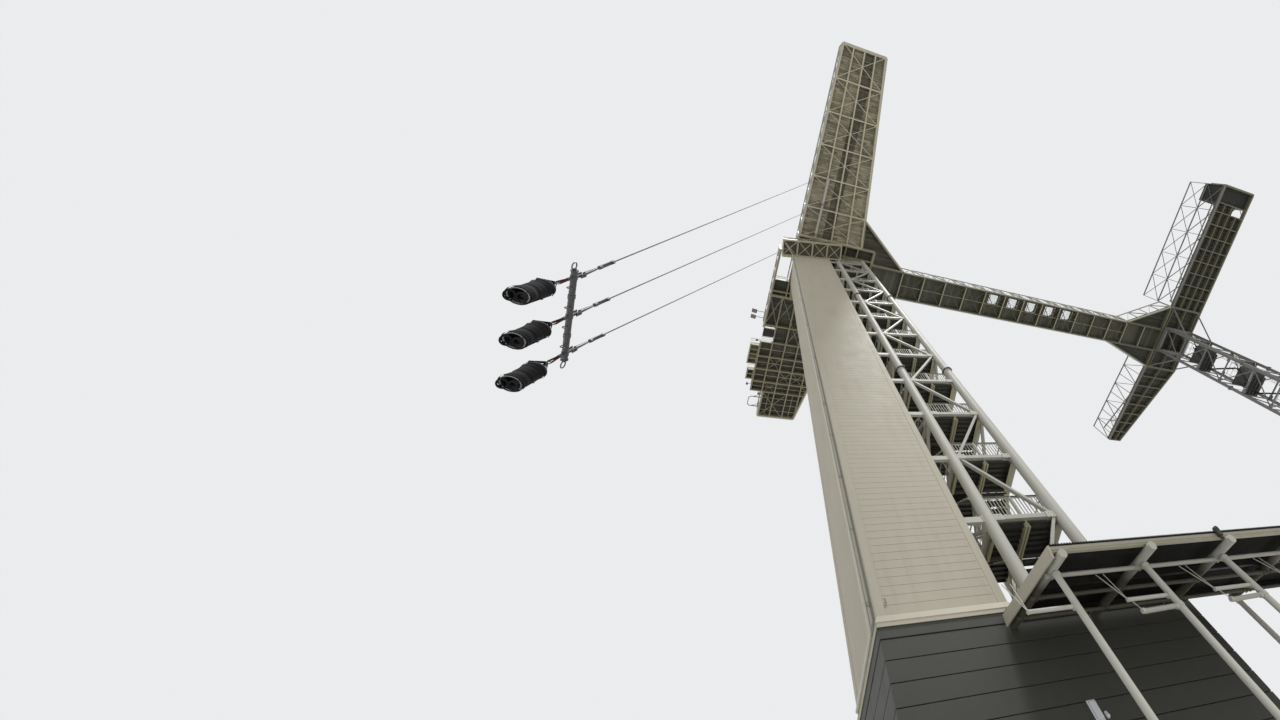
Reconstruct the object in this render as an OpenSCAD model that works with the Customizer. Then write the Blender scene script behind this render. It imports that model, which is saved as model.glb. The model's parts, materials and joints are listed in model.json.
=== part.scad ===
// Giant swing and jump tower with a sky bridge and an outer mast, at half its real size.
// Millimetres. The origin is the centre of the underside of the base building's floor.
// +X runs along the bridge towards the outer mast, +Y away from the entrance side, +Z up.

/* [Base building] */
// Length of the base building along its front
base_w = 4100; // [3700:50:5000]
// Depth of the base building
base_d = 1600; // [1600:50:2400]
// Height to the top of the base roof
base_h = 4150; // [3600:50:5000]
// Thickness of the base walls
wall_t = 100; // [60:10:160]
// Thickness of the floor slab
floor_t = 100; // [60:10:200]
// Thickness of the base roof slab
roof_t = 125; // [80:5:200]
// Angle of the tower to the bridge line, in degrees
tower_turn = -7; // [-10:1:0]
// Width of the doorway
door_w = 560; // [450:10:700]
// Height of the doorway
door_h = 1080; // [1000:10:1300]

/* [Lift shaft] */
// Width of the shaft
shaft_w = 1625; // [1500:25:1750]
// Depth of the shaft
shaft_d = 1550; // [1300:25:1600]
// Thickness of the shaft walls
shaft_t = 60; // [40:5:100]
// Diameter of the downpipe at the shaft's corner
pipe_d = 44; // [30:2:60]

/* [Stair tower] */
// From the shaft's side to the axis of the inner columns
stair_gap = 465; // [300:5:600]
// Between the inner and outer column axes
stair_w = 1260; // [1100:10:1500]
// Between the front and rear column axes
stair_d = 2140; // [2000:10:2600]
// Diameter of the round columns
column_d = 200; // [140:10:260]
// Height of one storey
storey_h = 1530; // [1400:10:1700]
// Number of storeys
storeys = 12; // [8:1:14]
// Depth of a level beam
level_beam_h = 80; // [60:5:120]
// Width of a diagonal brace
brace_w = 50; // [30:5:80]
// Thickness of a flat lattice in the stair tower
lattice_t = 60; // [40:5:90]
// Depth of the front landings
landing_d = 635; // [560:5:700]
// Treads in one flight
flight_treads = 8; // [6:1:9]

/* [High deck] */
// Depth of the girders on top of the tower
grillage_h = 250; // [150:10:350]
// Depth of the deck beams
beam_h = 200; // [140:10:260]
// Width of the deck beams
beam_w = 60; // [40:5:90]
// Width of the bracing under the decks
under_brace_w = 26; // [16:2:40]
// Thickness of the floor plates
plate_t = 30; // [20:2:50]
// Thickness of a side truss
truss_t = 50; // [30:5:80]
// Height of a side truss
truss_h = 1050; // [800:10:1300]
// Width of the chords of a side truss
chord_w = 60; // [40:5:90]
// Width of the posts and diagonals of a side truss
web_w = 30; // [20:2:50]

/* [Front jetty] */
// Length of the front jetty
front_len = 8650; // [7500:50:9500]
// Width at the root
front_root_w = 3115; // [2900:5:3300]
// Width at the tip
front_tip_w = 2000; // [1700:10:2400]
// Bays in the front jetty
front_bays = 6; // [4:1:8]

/* [Rear jetty] */
// Length of the wide part of the rear jetty
rear_wide_len = 5200; // [4800:50:5600]
// Length of the narrow end of the rear jetty
rear_end_len = 1400; // [1000:50:1800]
// Width of the rear jetty's end
rear_end_w = 1870; // [1500:10:2100]

/* [Sky bridge] */
// Length of the bridge from the head deck to the outer cross
bridge_len = 19300; // [17500:50:20500]
// Width of the bridge deck
bridge_w = 1400; // [1200:10:1600]
// Bays between the two splayed ends
bridge_bays = 12; // [8:1:16]

/* [Outer cross] */
// Width of the outer cross along the bridge
cross_w = 2400; // [2250:10:2600]
// Length of the near arm beyond the cross
near_arm_len = 7675; // [6500:25:8500]
// Height of the near arm's side frames
near_frame_h = 2550; // [2000:10:2900]
// Length of the far arm beyond the cross
far_arm_len = 5500; // [4500:50:6500]
// Width of the far arm's tip
far_tip_w = 850; // [700:10:1400]
// Height of the far arm's side frames
far_frame_h = 1675; // [1300:5:1900]

/* [Outer mast] */
// Between the mast's leg axes along the bridge
mast_w = 2000; // [1700:10:2100]
// Between the mast's leg axes across the bridge
mast_d = 1450; // [1300:10:1700]
// Side of a square mast leg
leg_w = 140; // [100:5:180]
// Bays in the mast
mast_bays = 16; // [12:1:20]

/* [Swing] */
// From the hinge line to the middle of the spreader bar
swing_len = 18350; // [16000:10:19500]
// Angle at which the swing hangs, towards -X, in degrees
swing_angle = 13.9; // [0:0.1:20]
// Diameter of the swing cables
cable_d = 14; // [10:1:24]
// Spacing of the three hangers
hanger_step = 1450; // [1300:10:1500]
// Radius of the hanger pins
pin_r = 12; // [8:1:16]
// Length of the spreader bar
spreader_w = 900; // [700:10:1100]

/* [Hidden] */
$fn = 32;

fit = 0.25;
column_fit = column_d / 2 + fit;
roof_z = base_h;
column_over = 490;
column_top = base_h + storeys * storey_h + column_over;
deck_z = column_top + grillage_h;
plate_z = deck_z + beam_h;
walk_z = plate_z + plate_t;
half_w = base_w / 2;
half_d = base_d / 2;
brace_t = 40;

// Tower frame: u along the front of the tower, v towards its back
shaft_u0 = -half_w;
shaft_u1 = shaft_u0 + shaft_w;
shaft_v0 = -half_d;
shaft_v1 = shaft_v0 + shaft_d;
column_u0 = shaft_u1 + stair_gap;
column_u1 = column_u0 + stair_w;
column_v0 = -half_d + column_d / 2 + 10;
column_v1 = column_v0 + stair_d;

// Doorway, near the right end of the front wall
door_u0 = half_w - 500 - door_w;

// Canopy
canopy_bay = 1100;
canopy_bays = 4;
canopy_out = 1375;
canopy_wall_z = roof_z - 250;
canopy_eave_z = canopy_wall_z - 375;
tube_d = 90;

// Head deck
head_x0 = -half_w;
head_x1 = 1750;
head_y0 = -1450;
head_y1 = 1750;
strip_x0 = -2750;
strip_y0 = -600;

// Front jetty
front_tip_y = head_y0 - front_len;
front_root_x1 = head_x0 + front_root_w;
front_tip_x1 = head_x0 + front_tip_w;
splay_start = 1400;

// Rear jetty
rear_x0 = strip_x0;
rear_step_x = -2100;
rear_y1 = head_y1 + rear_wide_len;
rear_y2 = rear_y1 + rear_end_len;
rear_root_x1 = 1150;
rear_tip_x1 = rear_step_x + rear_end_w;

// Bridge
bridge_y0 = -bridge_w / 2 - 50;
bridge_y1 = bridge_w / 2 - 50;
bridge_x1 = head_x1 + bridge_len;
knee_run = 1750;
near_out_run = 2775;
far_out_run = 3700;
near_knee_x = head_x1 + knee_run;
far_knee_x = near_knee_x;
near_out_x = bridge_x1 - near_out_run;
far_out_x = bridge_x1 - far_out_run;
bridge_bay = (near_out_x - near_knee_x) / bridge_bays;

// Outer cross
cross_x0 = bridge_x1;
cross_x1 = cross_x0 + cross_w;
hub_near_out = 1550;
hub_far_out = 1125;
cross_y0 = bridge_y0 - hub_near_out;
cross_y1 = bridge_y1 + hub_far_out;
near_tip_y = cross_y0 - near_arm_len;
near_bays = 5;
far_tip_y = cross_y1 + far_arm_len;
far_bays = 4;
far_tip_x0 = cross_x0 - 400;

// Mast
mast_x0 = cross_x0 + 200;
mast_x1 = mast_x0 + mast_w;
mast_y0 = bridge_y0 - 200;
mast_y1 = mast_y0 + mast_d;
mast_head_h = 200;
mast_top = deck_z - mast_head_h;

// Swing
hinge_x = -1320;
hinge_z = deck_z - 190;
hanger_y = head_y0 - 240;

// Small helpers
module bar(a, b, w) {
    d = b - a;
    translate(a) rotate(atan2(d[1], d[0])) translate([0, -w / 2]) square([norm(d), w]);
}

module edge_bars(outline, w) {
    n = len(outline);
    for (i = [0 : n - 1]) bar(outline[i], outline[(i + 1) % n], 2 * w);
}

// A flat frame inside an outline: edge members, members and thin braces
module flat_frame(outline, members, braces, w, bw) {
    intersection() {
        polygon(outline);
        union() {
            edge_bars(outline, w);
            for (m = members) bar(m[0], m[1], w);
            for (m = braces) bar(m[0], m[1], bw);
        }
    }
}

// Deck beams over their bracing
module deck_frame(outline, members, braces) {
    translate([0, 0, deck_z])
    linear_extrude(brace_t) flat_frame(outline, members, braces, beam_w, under_brace_w);
    translate([0, 0, deck_z + brace_t])
    linear_extrude(beam_h - brace_t) flat_frame(outline, members, [], beam_w, under_brace_w);
}

module deck_plate(outline) {
    translate([0, 0, plate_z]) linear_extrude(plate_t) polygon(outline);
}

// Upright lattice in the XZ plane from x = 0 to length, its back face at y = 0
module truss_face(length, height, bays, chord, web, t, lean = "alternate", rod = 0) {
    bay = length / bays;
    mid = chord / 2;
    rotate([90, 0, 0]) linear_extrude(t) intersection() {
        square([length, height]);
        union() {
            square([length, chord]);
            translate([0, height - chord]) square([length, chord]);
            for (i = [0 : bays])
                translate([min(max(i * bay - web / 2, 0), length - web), 0]) square([web, height]);
            for (i = [0 : bays - 1]) {
                up = lean == "forward" || (lean == "alternate" && i % 2 == 0);
                low = [i * bay, up ? mid : height - mid];
                high = [(i + 1) * bay, up ? height - mid : mid];
                if (lean != "none") bar(low, high, web);
                if (rod > 0) bar(low, high, rod);
                if (rod > 0) bar([low[0], high[1]], [high[0], low[1]], rod);
            }
        }
    }
}

// The same lattice along a deck edge from point a to point b, outside the edge on the right hand
module edge_truss(a, b, height, bays) {
    d = b - a;
    translate([a[0], a[1], deck_z]) rotate([0, 0, atan2(d[1], d[0])]) translate([0, -fit, 0])
    truss_face(norm(d), height, bays, chord_w, web_w, truss_t);
}

// The point on the way from a to b at a distance from a
function along(a, b, distance) = a + (b - a) * distance / norm(b - a);

module trimmed_truss(a, b, height, bays) {
    edge_truss(along(a, b, truss_t), along(b, a, truss_t), height, bays);
}

module tower() {
    rotate([0, 0, tower_turn]) children();
}

// Base building
module block(u0, u1, v0, v1, z0, z1) {
    translate([u0, v0, z0]) cube([u1 - u0, v1 - v0, z1 - z0]);
}

module floor_slab() {
    color("gray") tower() block(-half_w, half_w, -half_d, half_d, 0, floor_t);
}

wall_top = roof_z - roof_t;

// Front wall on both sides of the doorway
module front_wall() {
    color("dimgray") tower() {
        block(-half_w, door_u0, -half_d, -half_d + wall_t, floor_t, wall_top);
        block(door_u0 + door_w, half_w, -half_d, -half_d + wall_t, floor_t, wall_top);
    }
}

module door_head() {
    color("dimgray") tower()
    block(door_u0, door_u0 + door_w, -half_d, -half_d + wall_t, floor_t + door_h, wall_top);
}

module side_walls() {
    color("dimgray") tower() for (u = [-half_w, half_w - wall_t])
        block(u, u + wall_t, -half_d + wall_t, half_d - wall_t, floor_t, wall_top);
}

module rear_wall() {
    color("dimgray") tower()
    block(-half_w, half_w, half_d - wall_t, half_d, floor_t, wall_top);
}

// Roof slab with a capping that stands out past the walls
module base_roof() {
    cap_out = 30;
    cap_h = 70;
    color("gray") tower() union() {
        block(-half_w, half_w, -half_d, half_d, wall_top, roof_z);
        block(-half_w - cap_out, half_w + cap_out, -half_d - cap_out, half_d + cap_out,
            roof_z - cap_h, roof_z);
    }
}

// Lean-to canopy along the front, from beside the shaft past the base's end
canopy_u0 = shaft_u1 - 175;
canopy_u1 = canopy_u0 + canopy_bays * canopy_bay + 2 * tube_d;
canopy_v0 = -half_d - canopy_out;
canopy_slope = atan2(canopy_wall_z - canopy_eave_z, canopy_out);
canopy_run = canopy_out / cos(canopy_slope);
post_in = 200;
post_d = 70;
post_u0 = canopy_u0 + tube_d;
roof_sheet_t = 30;
batten_w = 45;
batten_h = 60;
batten_z = tube_d + fit;
roof_sheet_z = batten_z + batten_h + fit;
tail = 60;

// Places children with x along the wall and y up the slope from the eave, z square to the roof
module on_slope() {
    tower() translate([0, canopy_v0, canopy_eave_z]) rotate([canopy_slope, 0, 0]) children();
}

module canopy_roof() {
    color("darkslategray") on_slope() translate([canopy_u0, -batten_w / 2, roof_sheet_z])
    cube([canopy_u1 - canopy_u0, canopy_run - 40, roof_sheet_t]);
}

// Round rafters that end against the wall and run out at the eave past the roof, on thinner purlins
module canopy_frame() {
    purlin_d = 44;
    color("whitesmoke") on_slope() union() {
        for (i = [0 : canopy_bays])
            translate([post_u0 + i * canopy_bay, -tail, tube_d / 2]) rotate([-90, 0, 0])
            cylinder(d = tube_d, h = canopy_run + tail - fit);
        for (y = [post_in + 90, 720, 1150])
            translate([canopy_u0 + 40, y, 8]) rotate([0, 90, 0])
            cylinder(d = purlin_d, h = canopy_u1 - canopy_u0 - 80);
    }
}

// Eave board and battens on the rafters under the roof, and barge boards outside its sloping ends
module canopy_fascia() {
    board_t = 22;
    board_h = 125;
    color("antiquewhite") on_slope() {
        for (y = [0, 680, 1320])
            translate([canopy_u0, y, batten_z]) cube([canopy_u1 - canopy_u0, batten_w, batten_h]);
        for (u = [canopy_u0 - fit - board_t, canopy_u1 + fit])
            translate([u, -batten_w / 2, roof_sheet_z - board_h])
            cube([board_t, canopy_run - 45, board_h]);
    }
}

// Height at which a post of this width meets the underside of a rafter
function post_top(v_in, d) = canopy_eave_z + (v_in - d / 2) * tan(canopy_slope) - fit;

module canopy_posts() {
    wall_in = canopy_out - 60;
    color("whitesmoke") tower() for (i = [0 : canopy_bays]) {
        u = post_u0 + i * canopy_bay;
        translate([u, canopy_v0 + post_in, 0]) cylinder(d = post_d, h = post_top(post_in, post_d));
        if (u > half_w) translate([u, canopy_v0 + wall_in, 0])
            cylinder(d = post_d, h = post_top(wall_in, post_d));
    }
}

module wall_lamp() {
    lamp_z = 2890;
    lamp_h = 200;
    color("lightgray") tower() block(-150, -50, -half_d - 60, -half_d, lamp_z, lamp_z + lamp_h);
}

// Lift shaft
module shaft_front() {
    color("antiquewhite") tower()
    block(shaft_u0, shaft_u1, shaft_v0, shaft_v0 + shaft_t, roof_z, column_top);
}

module shaft_sides() {
    color("antiquewhite") tower() for (u = [shaft_u0, shaft_u1 - shaft_t])
        block(u, u + shaft_t, shaft_v0 + shaft_t, shaft_v1 - shaft_t, roof_z, column_top);
}

module shaft_rear() {
    color("antiquewhite") tower()
    block(shaft_u0, shaft_u1, shaft_v1 - shaft_t, shaft_v1, roof_z, column_top);
}

// Downpipe with its brackets on the left side, near the front arris
module shaft_downpipe() {
    pipe_u = shaft_u0 - 60;
    pipe_v = shaft_v0 + 170;
    bracket_step = 2350;
    color("lightgray") tower() union() {
        translate([pipe_u, pipe_v, roof_z + 120]) cylinder(d = pipe_d, h = column_top - roof_z - 600);
        for (z = [roof_z + 400 : bracket_step : column_top - 700])
            block(pipe_u, shaft_u0, pipe_v - 15, pipe_v + 15, z, z + 40);
    }
}

// Stair tower
column_places = [
    [column_u0, column_v0, roof_z], [column_u1, column_v0, roof_z],
    [column_u0, column_v1, 0], [column_u1, column_v1, 0]
];

// Round columns with flanged joints, whose places are counted in storeys above the roof
module stair_columns() {
    foot_t = 20;
    flange_d = column_d + 70;
    flange_t = 38;
    color("gainsboro") tower() for (p = column_places) translate([p[0], p[1], 0]) union() {
        translate([0, 0, p[2]]) cylinder(d = column_d, h = column_top - p[2]);
        translate([-column_d / 2, -column_d / 2, p[2]]) cube([column_d, column_d, foot_t]);
        for (level = [p[1] == column_v0 ? 4.42 : 4.38, 8.53])
            translate([0, 0, roof_z + level * storey_h]) cylinder(d = flange_d, h = flange_t, center = true);
    }
}

// Level beams and alternating diagonals between two columns, standing from z0
module ladder_lattice(span, z0, first, count, step, braces_from = 0) {
    intersection() {
        translate([0, z0]) square([span, column_top - z0]);
        union() {
            for (k = [0 : count]) {
                z = first + k * step;
                translate([0, z - level_beam_h]) square([span, level_beam_h]);
            }
            translate([0, column_top - level_beam_h]) square([span, level_beam_h]);
            for (k = [braces_from : count - 1]) {
                z = first + k * step - level_beam_h / 2;
                a = k % 2 == 0 ? [0, z] : [span, z];
                b = k % 2 == 0 ? [span, z + step] : [0, z + step];
                bar(a, b, brace_w);
            }
        }
    }
}

front_span = stair_w - 2 * column_fit;
side_span = stair_d - 2 * column_fit;

module stair_front_frame() {
    color("gainsboro") tower()
    translate([column_u0 + column_fit, column_v0 + lattice_t / 2, 0]) rotate([90, 0, 0])
    linear_extrude(lattice_t) ladder_lattice(front_span, roof_z, roof_z + level_beam_h, storeys, storey_h);
}

module stair_side_frames() {
    color("gainsboro") tower() for (u = [column_u0, column_u1])
        translate([u - lattice_t / 2, column_v0 + column_fit, 0]) rotate([90, 0, 90])
        linear_extrude(lattice_t)
        ladder_lattice(side_span, roof_z, roof_z + storey_h, storeys - 1, storey_h);
}

module stair_rear_frame() {
    below = floor(roof_z / storey_h);
    start = roof_z - below * storey_h;
    color("gainsboro") tower()
    translate([column_u0 + column_fit, column_v1 + lattice_t / 2, 0]) rotate([90, 0, 0])
    linear_extrude(lattice_t)
    ladder_lattice(front_span, start - level_beam_h, start, storeys + below, storey_h);
}

// Short ties at each level, from the shaft to the near column and to the near side frame
module shaft_ties() {
    tie_w = 60;
    tie_h = level_beam_h + 30;
    rear_tie_v = shaft_v1 - shaft_t - tie_w;
    color("gainsboro") tower() for (k = [1 : storeys]) {
        z = roof_z + k * storey_h;
        block(shaft_u1 + fit, column_u0 - column_fit, column_v0 - tie_w / 2, column_v0 + tie_w / 2,
            z + level_beam_h - tie_h, z + level_beam_h);
        block(shaft_u1 + fit, column_u0 - lattice_t / 2 - fit, rear_tie_v, rear_tie_v + tie_w,
            z - level_beam_h, z);
    }
}

// Landings between the side frames, notched round the columns
in_u0 = column_u0 + lattice_t / 2;
in_u1 = column_u1 - lattice_t / 2;
notch_u0 = column_u0 + column_d / 2 + 5;
notch_u1 = column_u1 - column_d / 2 - 5;
front_face_v = column_v0 + lattice_t / 2;
rear_face_v = column_v1 - lattice_t / 2;
flight_v0 = front_face_v + landing_d;
notch_front = column_v0 + column_d / 2 + 5;
notch_rear = column_v1 - column_d / 2 - 5;
half_storey = storey_h / 2;
channel_h = 110;
channel_w = 30;
floor_plate_t = 20;
riser = half_storey / (flight_treads + 1);
rear_landing_d = 570;
flight_v1 = rear_face_v - rear_landing_d;
going = (flight_v1 - flight_v0) / flight_treads;

module landing(v_frame, v_notch, v_edge, z) {
    outline = [
        [notch_u0, v_frame], [notch_u1, v_frame], [notch_u1, v_notch], [in_u1, v_notch],
        [in_u1, v_edge], [in_u0, v_edge], [in_u0, v_notch], [notch_u0, v_notch]
    ];
    low_v = min(v_edge, v_edge - sign(v_edge - v_frame) * channel_w);
    union() {
        translate([0, 0, z - floor_plate_t]) linear_extrude(floor_plate_t) polygon(outline);
        block(in_u0, in_u1, low_v, low_v + channel_w, z - channel_h, z - floor_plate_t);
    }
}

module stair_landings() {
    color("silver") tower() {
        for (k = [1 : storeys]) landing(front_face_v, notch_front, flight_v0, roof_z + k * storey_h);
        for (k = [0 : storeys - 1])
            landing(rear_face_v, notch_rear, flight_v1, roof_z + (k + 0.5) * storey_h);
    }
}

// Flights in two lanes, up towards the back in the inner lane and forward in the outer one
lane_gap = 20;
stringer_t = 26;
stringer_h = 120;
lane_mid = (in_u0 + in_u1) / 2;
lanes = [
    [in_u0 + lane_gap, lane_mid - lane_gap / 2],
    [lane_mid + lane_gap / 2, in_u1 - lane_gap]
];

// Sloping band from flight_v0 to flight_v1, from a low to a high distance over the stringer's foot
module flight_band(z0, z1, low, high) {
    polygon([
        [flight_v0, z0 - channel_h + low], [flight_v1, z1 - channel_h + low],
        [flight_v1, z1 - channel_h + high], [flight_v0, z0 - channel_h + high]
    ]);
}

// Side outline of a stringer that climbs from flight_v0 to flight_v1, with its handrail and posts
rail_top = column_over - 30 + channel_h;
rail_tube = 24;

module stringer_outline(z0, z1, floor_z) {
    intersection() {
        union() {
            flight_band(z0, z1, 0, stringer_h);
            flight_band(z0, z1, rail_top - rail_tube, rail_top);
            for (v = [flight_v0 + 20, (flight_v0 + flight_v1) / 2, flight_v1 - 20]) intersection() {
                translate([v - 10, floor_z]) square([20, storeys * storey_h]);
                flight_band(z0, z1, 0, rail_top);
            }
        }
        translate([flight_v0, floor_z]) square([flight_v1 - flight_v0, (storeys + 1) * storey_h]);
    }
}

module stair_stringers() {
    color("wheat") tower() for (k = [0 : storeys - 1]) {
        z = roof_z + k * storey_h;
        for (lane = [0, 1]) for (side = [0, 1]) {
            low = lane == 0 ? z : z + storey_h;
            high = z + half_storey;
            u = side == 0 ? lanes[lane][0] : lanes[lane][1] - stringer_t;
            translate([u, 0, 0]) rotate([90, 0, 90]) linear_extrude(stringer_t)
            stringer_outline(low, high, roof_z);
        }
    }
}

module stair_treads() {
    tread_t = 16;
    color("darkgray") tower() for (k = [0 : storeys - 1]) for (lane = [0, 1])
        for (i = [1 : flight_treads]) {
            z = roof_z + k * storey_h + (lane == 0 ? i * riser : storey_h - i * riser);
            v = flight_v0 + (i - 1) * going;
            block(lanes[lane][0] + stringer_t, lanes[lane][1] - stringer_t, v + 2, v + going - 2,
                z - tread_t - 30, z - 30);
        }
}

// Guard rails with upright bars at the front of each landing
module landing_rails() {
    rail_h = 540;
    rail_t = 14;
    bar_w = 10;
    bars = 17;
    rail_len = notch_u1 - notch_u0;
    color("gainsboro") tower() for (k = [1 : storeys - 1])
        translate([notch_u0, front_face_v + rail_t, roof_z + k * storey_h]) rotate([90, 0, 0])
        linear_extrude(rail_t) union() {
            square([rail_len, 24]);
            translate([0, rail_h - 24]) square([rail_len, 24]);
            for (i = [0 : bars]) translate([i * (rail_len - bar_w) / bars, 0]) square([bar_w, rail_h]);
        }
}

// Girders on top of the columns and the shaft
module head_grillage() {
    g = 120;
    u1 = column_u1 + g / 2;
    v1 = column_v1 + g / 2;
    color("tan") tower() translate([0, 0, column_top]) linear_extrude(grillage_h) union() {
        for (v = [shaft_v0, column_v1 - g / 2]) translate([shaft_u0, v]) square([u1 - shaft_u0, g]);
        translate([shaft_u0, shaft_v1 - g]) square([u1 - shaft_u0, g]);
        for (u = [shaft_u0, shaft_u1 - g, column_u0 - g / 2, column_u1 - g / 2])
            translate([u, shaft_v0]) square([g, v1 - shaft_v0]);
    }
}

// Head deck, with an open well between the edge beam and the shaft on the left
head_outline = [
    [head_x0, head_y0], [head_x1, head_y0], [head_x1, head_y1], [strip_x0, head_y1],
    [strip_x0, strip_y0], [head_x0, strip_y0]
];
well_y1 = 900;
well = [
    [strip_x0 + beam_w, strip_y0 + beam_w], [head_x0, strip_y0 + beam_w], [head_x0, well_y1],
    [strip_x0 + beam_w, well_y1]
];
head_cross_step = 600;
head_long_step = 600;

module head_beams() {
    members = concat(
        [for (i = [-1 : 3]) let (y = well_y1 - (2 - i) * head_cross_step)
            [[strip_x0 - 10, y], [head_x1 + 10, y]]],
        [for (i = [0 : 4]) let (x = head_x0 + 550 + i * head_long_step)
            [[x, head_y0 - 10], [x, head_y1 + 10]]],
        [[[head_x0 + beam_w / 2, head_y0], [head_x0 + beam_w / 2, head_y1]]]
    );
    color("tan") {
        difference() {
            deck_frame(head_outline, members, []);
            translate([0, 0, deck_z - 1]) linear_extrude(beam_h + 2) polygon(well);
        }
        deck_frame(near_splay, [], []);
        deck_frame(far_splay, [], []);
    }
}

module head_plates() {
    color("darkolivegreen") {
        difference() {
            deck_plate(head_outline);
            translate([0, 0, plate_z - 1]) linear_extrude(plate_t + 2) polygon(well);
        }
        deck_plate(near_splay);
        deck_plate(far_splay);
    }
}

module head_rails() {
    color("gainsboro") {
        edge_truss([strip_x0, head_y1 - 40], [strip_x0, strip_y0], truss_h, 4);
        edge_truss([head_x0, strip_y0 - truss_t], [head_x0, head_y0], truss_h, 2);
    }
}

// Plain lift house on the head deck over the shaft
module lift_house() {
    house_h = 1300;
    t = 60;
    door_half = 300;
    color("antiquewhite") tower() translate([0, 0, walk_z + fit]) difference() {
        block(shaft_u0 + 100, shaft_u1, shaft_v0 + 100, shaft_v1, 0, house_h);
        block(shaft_u0 + 100 + t, shaft_u1 - t, shaft_v0 + 100 + t, shaft_v1 - t, -1, house_h - t);
        block(shaft_u1 - t - 1, shaft_u1 + 1, -door_half, door_half, -1, 1080);
    }
}

// Service balcony in front of the shaft's head
module service_balcony() {
    b_u0 = shaft_u0 - 575;
    b_u1 = shaft_u1 + 550;
    b_v0 = shaft_v0 - 750;
    b_z = column_top - 500;
    depth = 150;
    rail_h = 500;
    bays = 4;
    step = (b_u1 - b_u0) / bays;
    outline = [[b_u0, b_v0], [b_u1, b_v0], [b_u1, shaft_v0], [b_u0, shaft_v0]];
    posts = [for (i = [1 : bays - 1]) [[b_u0 + i * step, b_v0], [b_u0 + i * step, shaft_v0]]];
    crosses = [for (i = [0 : bays - 1]) for (s = [0, 1])
        [[b_u0 + i * step, s == 0 ? b_v0 : shaft_v0], [b_u0 + (i + 1) * step, s == 0 ? shaft_v0 : b_v0]]];
    color("tan") tower() union() {
        translate([0, 0, b_z]) linear_extrude(brace_t)
        flat_frame(outline, posts, crosses, beam_w, under_brace_w);
        translate([0, 0, b_z + brace_t]) linear_extrude(depth - brace_t)
        flat_frame(outline, posts, [], beam_w, under_brace_w);
        translate([0, 0, b_z + depth]) linear_extrude(plate_t) polygon(outline);
        translate([b_u0, b_v0 + 30, b_z + depth + plate_t])
        truss_face(b_u1 - b_u0, rail_h, bays, 30, 20, 30);
    }
}

// Front jetty: straight left edge, right edge drawing in towards the tip
front_outline = [
    [head_x0, head_y0], [head_x0, front_tip_y], [front_tip_x1, front_tip_y], [front_root_x1, head_y0]
];
front_bay = front_len / front_bays;

function jetty_right_x(y) =
    front_root_x1 + (front_tip_x1 - front_root_x1) * (head_y0 - y) / front_len;

module front_jetty_beams() {
    cross = [for (i = [1 : front_bays - 1])
        [[head_x0 - 10, head_y0 - i * front_bay], [front_root_x1 + 10, head_y0 - i * front_bay]]];
    along = [for (f = [0.25, 0.5, 0.75])
        [[head_x0 + f * front_root_w, head_y0 + 10], [head_x0 + f * front_tip_w, front_tip_y - 10]]];
    braces = [for (i = [0 : front_bays - 1]) for (s = [0, 1])
        let (ya = head_y0 - i * front_bay, yb = ya - front_bay)
        s == 0 ? [[head_x0, ya], [jetty_right_x(yb), yb]] : [[jetty_right_x(ya), ya], [head_x0, yb]]];
    color("tan") deck_frame(front_outline, concat(cross, along), braces);
}

module front_jetty_plates() {
    color("darkolivegreen") deck_plate(front_outline);
}

splay_y = head_y0 - splay_start;

module front_jetty_trusses() {
    color("gainsboro") {
        edge_truss([head_x0, head_y0], [head_x0, front_tip_y], truss_h, 2 * front_bays);
        edge_truss([front_tip_x1, front_tip_y], [jetty_right_x(splay_y), splay_y], truss_h,
            2 * front_bays - 2);
        edge_truss([head_x0, front_tip_y], [front_tip_x1, front_tip_y], truss_h, 3);
    }
}

// Rear jetty, with an open well beside the first jump platform
rear_outline = [
    [rear_x0, head_y1], [rear_root_x1, head_y1], [rear_tip_x1, rear_y2], [rear_step_x, rear_y2],
    [rear_step_x, rear_y1], [rear_x0, rear_y1]
];
rear_well_run = 1700;
rear_well_y = head_y1 + rear_well_run;
rear_well_d = 750;
rear_well_w = 600;
rear_well = [
    [rear_x0 - 1, rear_well_y], [rear_x0 + rear_well_w, rear_well_y],
    [rear_x0 + rear_well_w, rear_well_y + rear_well_d], [rear_x0 - 1, rear_well_y + rear_well_d]
];
rear_first_bay = 1560;
rear_cross_steps = [rear_first_bay, 2450, 3250, 3950, 4650];
rear_line_x = -2150;
rear_line_step = 650;

function rear_right_x(y) =
    rear_root_x1 + (rear_tip_x1 - rear_root_x1) * (y - head_y1) / (rear_wide_len + rear_end_len);

module rear_jetty_beams() {
    tip_line_x = rear_line_x + 2 * rear_line_step;
    cross = [for (s = concat(rear_cross_steps, [rear_wide_len]))
        [[rear_x0 - 10, head_y1 + s], [rear_root_x1 + 10, head_y1 + s]]];
    along = [for (i = [0 : 3]) let (x = rear_line_x + i * rear_line_step)
        [[x, head_y1 - 10], [x, rear_y2 + 10]]];
    braces = [
        [[rear_x0, head_y1], [rear_line_x, head_y1 + rear_first_bay]],
        [[rear_line_x, head_y1], [rear_x0, head_y1 + rear_first_bay]],
        [[rear_step_x, rear_y1], [tip_line_x, rear_y2]], [[tip_line_x, rear_y1], [rear_step_x, rear_y2]]
    ];
    color("tan") difference() {
        deck_frame(rear_outline, concat(cross, along), braces);
        translate([0, 0, deck_z - 1]) linear_extrude(beam_h + 2) polygon(rear_well);
    }
}

module rear_jetty_plates() {
    color("darkolivegreen") difference() {
        deck_plate(rear_outline);
        translate([0, 0, plate_z - 1]) linear_extrude(plate_t + 2) polygon(rear_well);
    }
}

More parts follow.
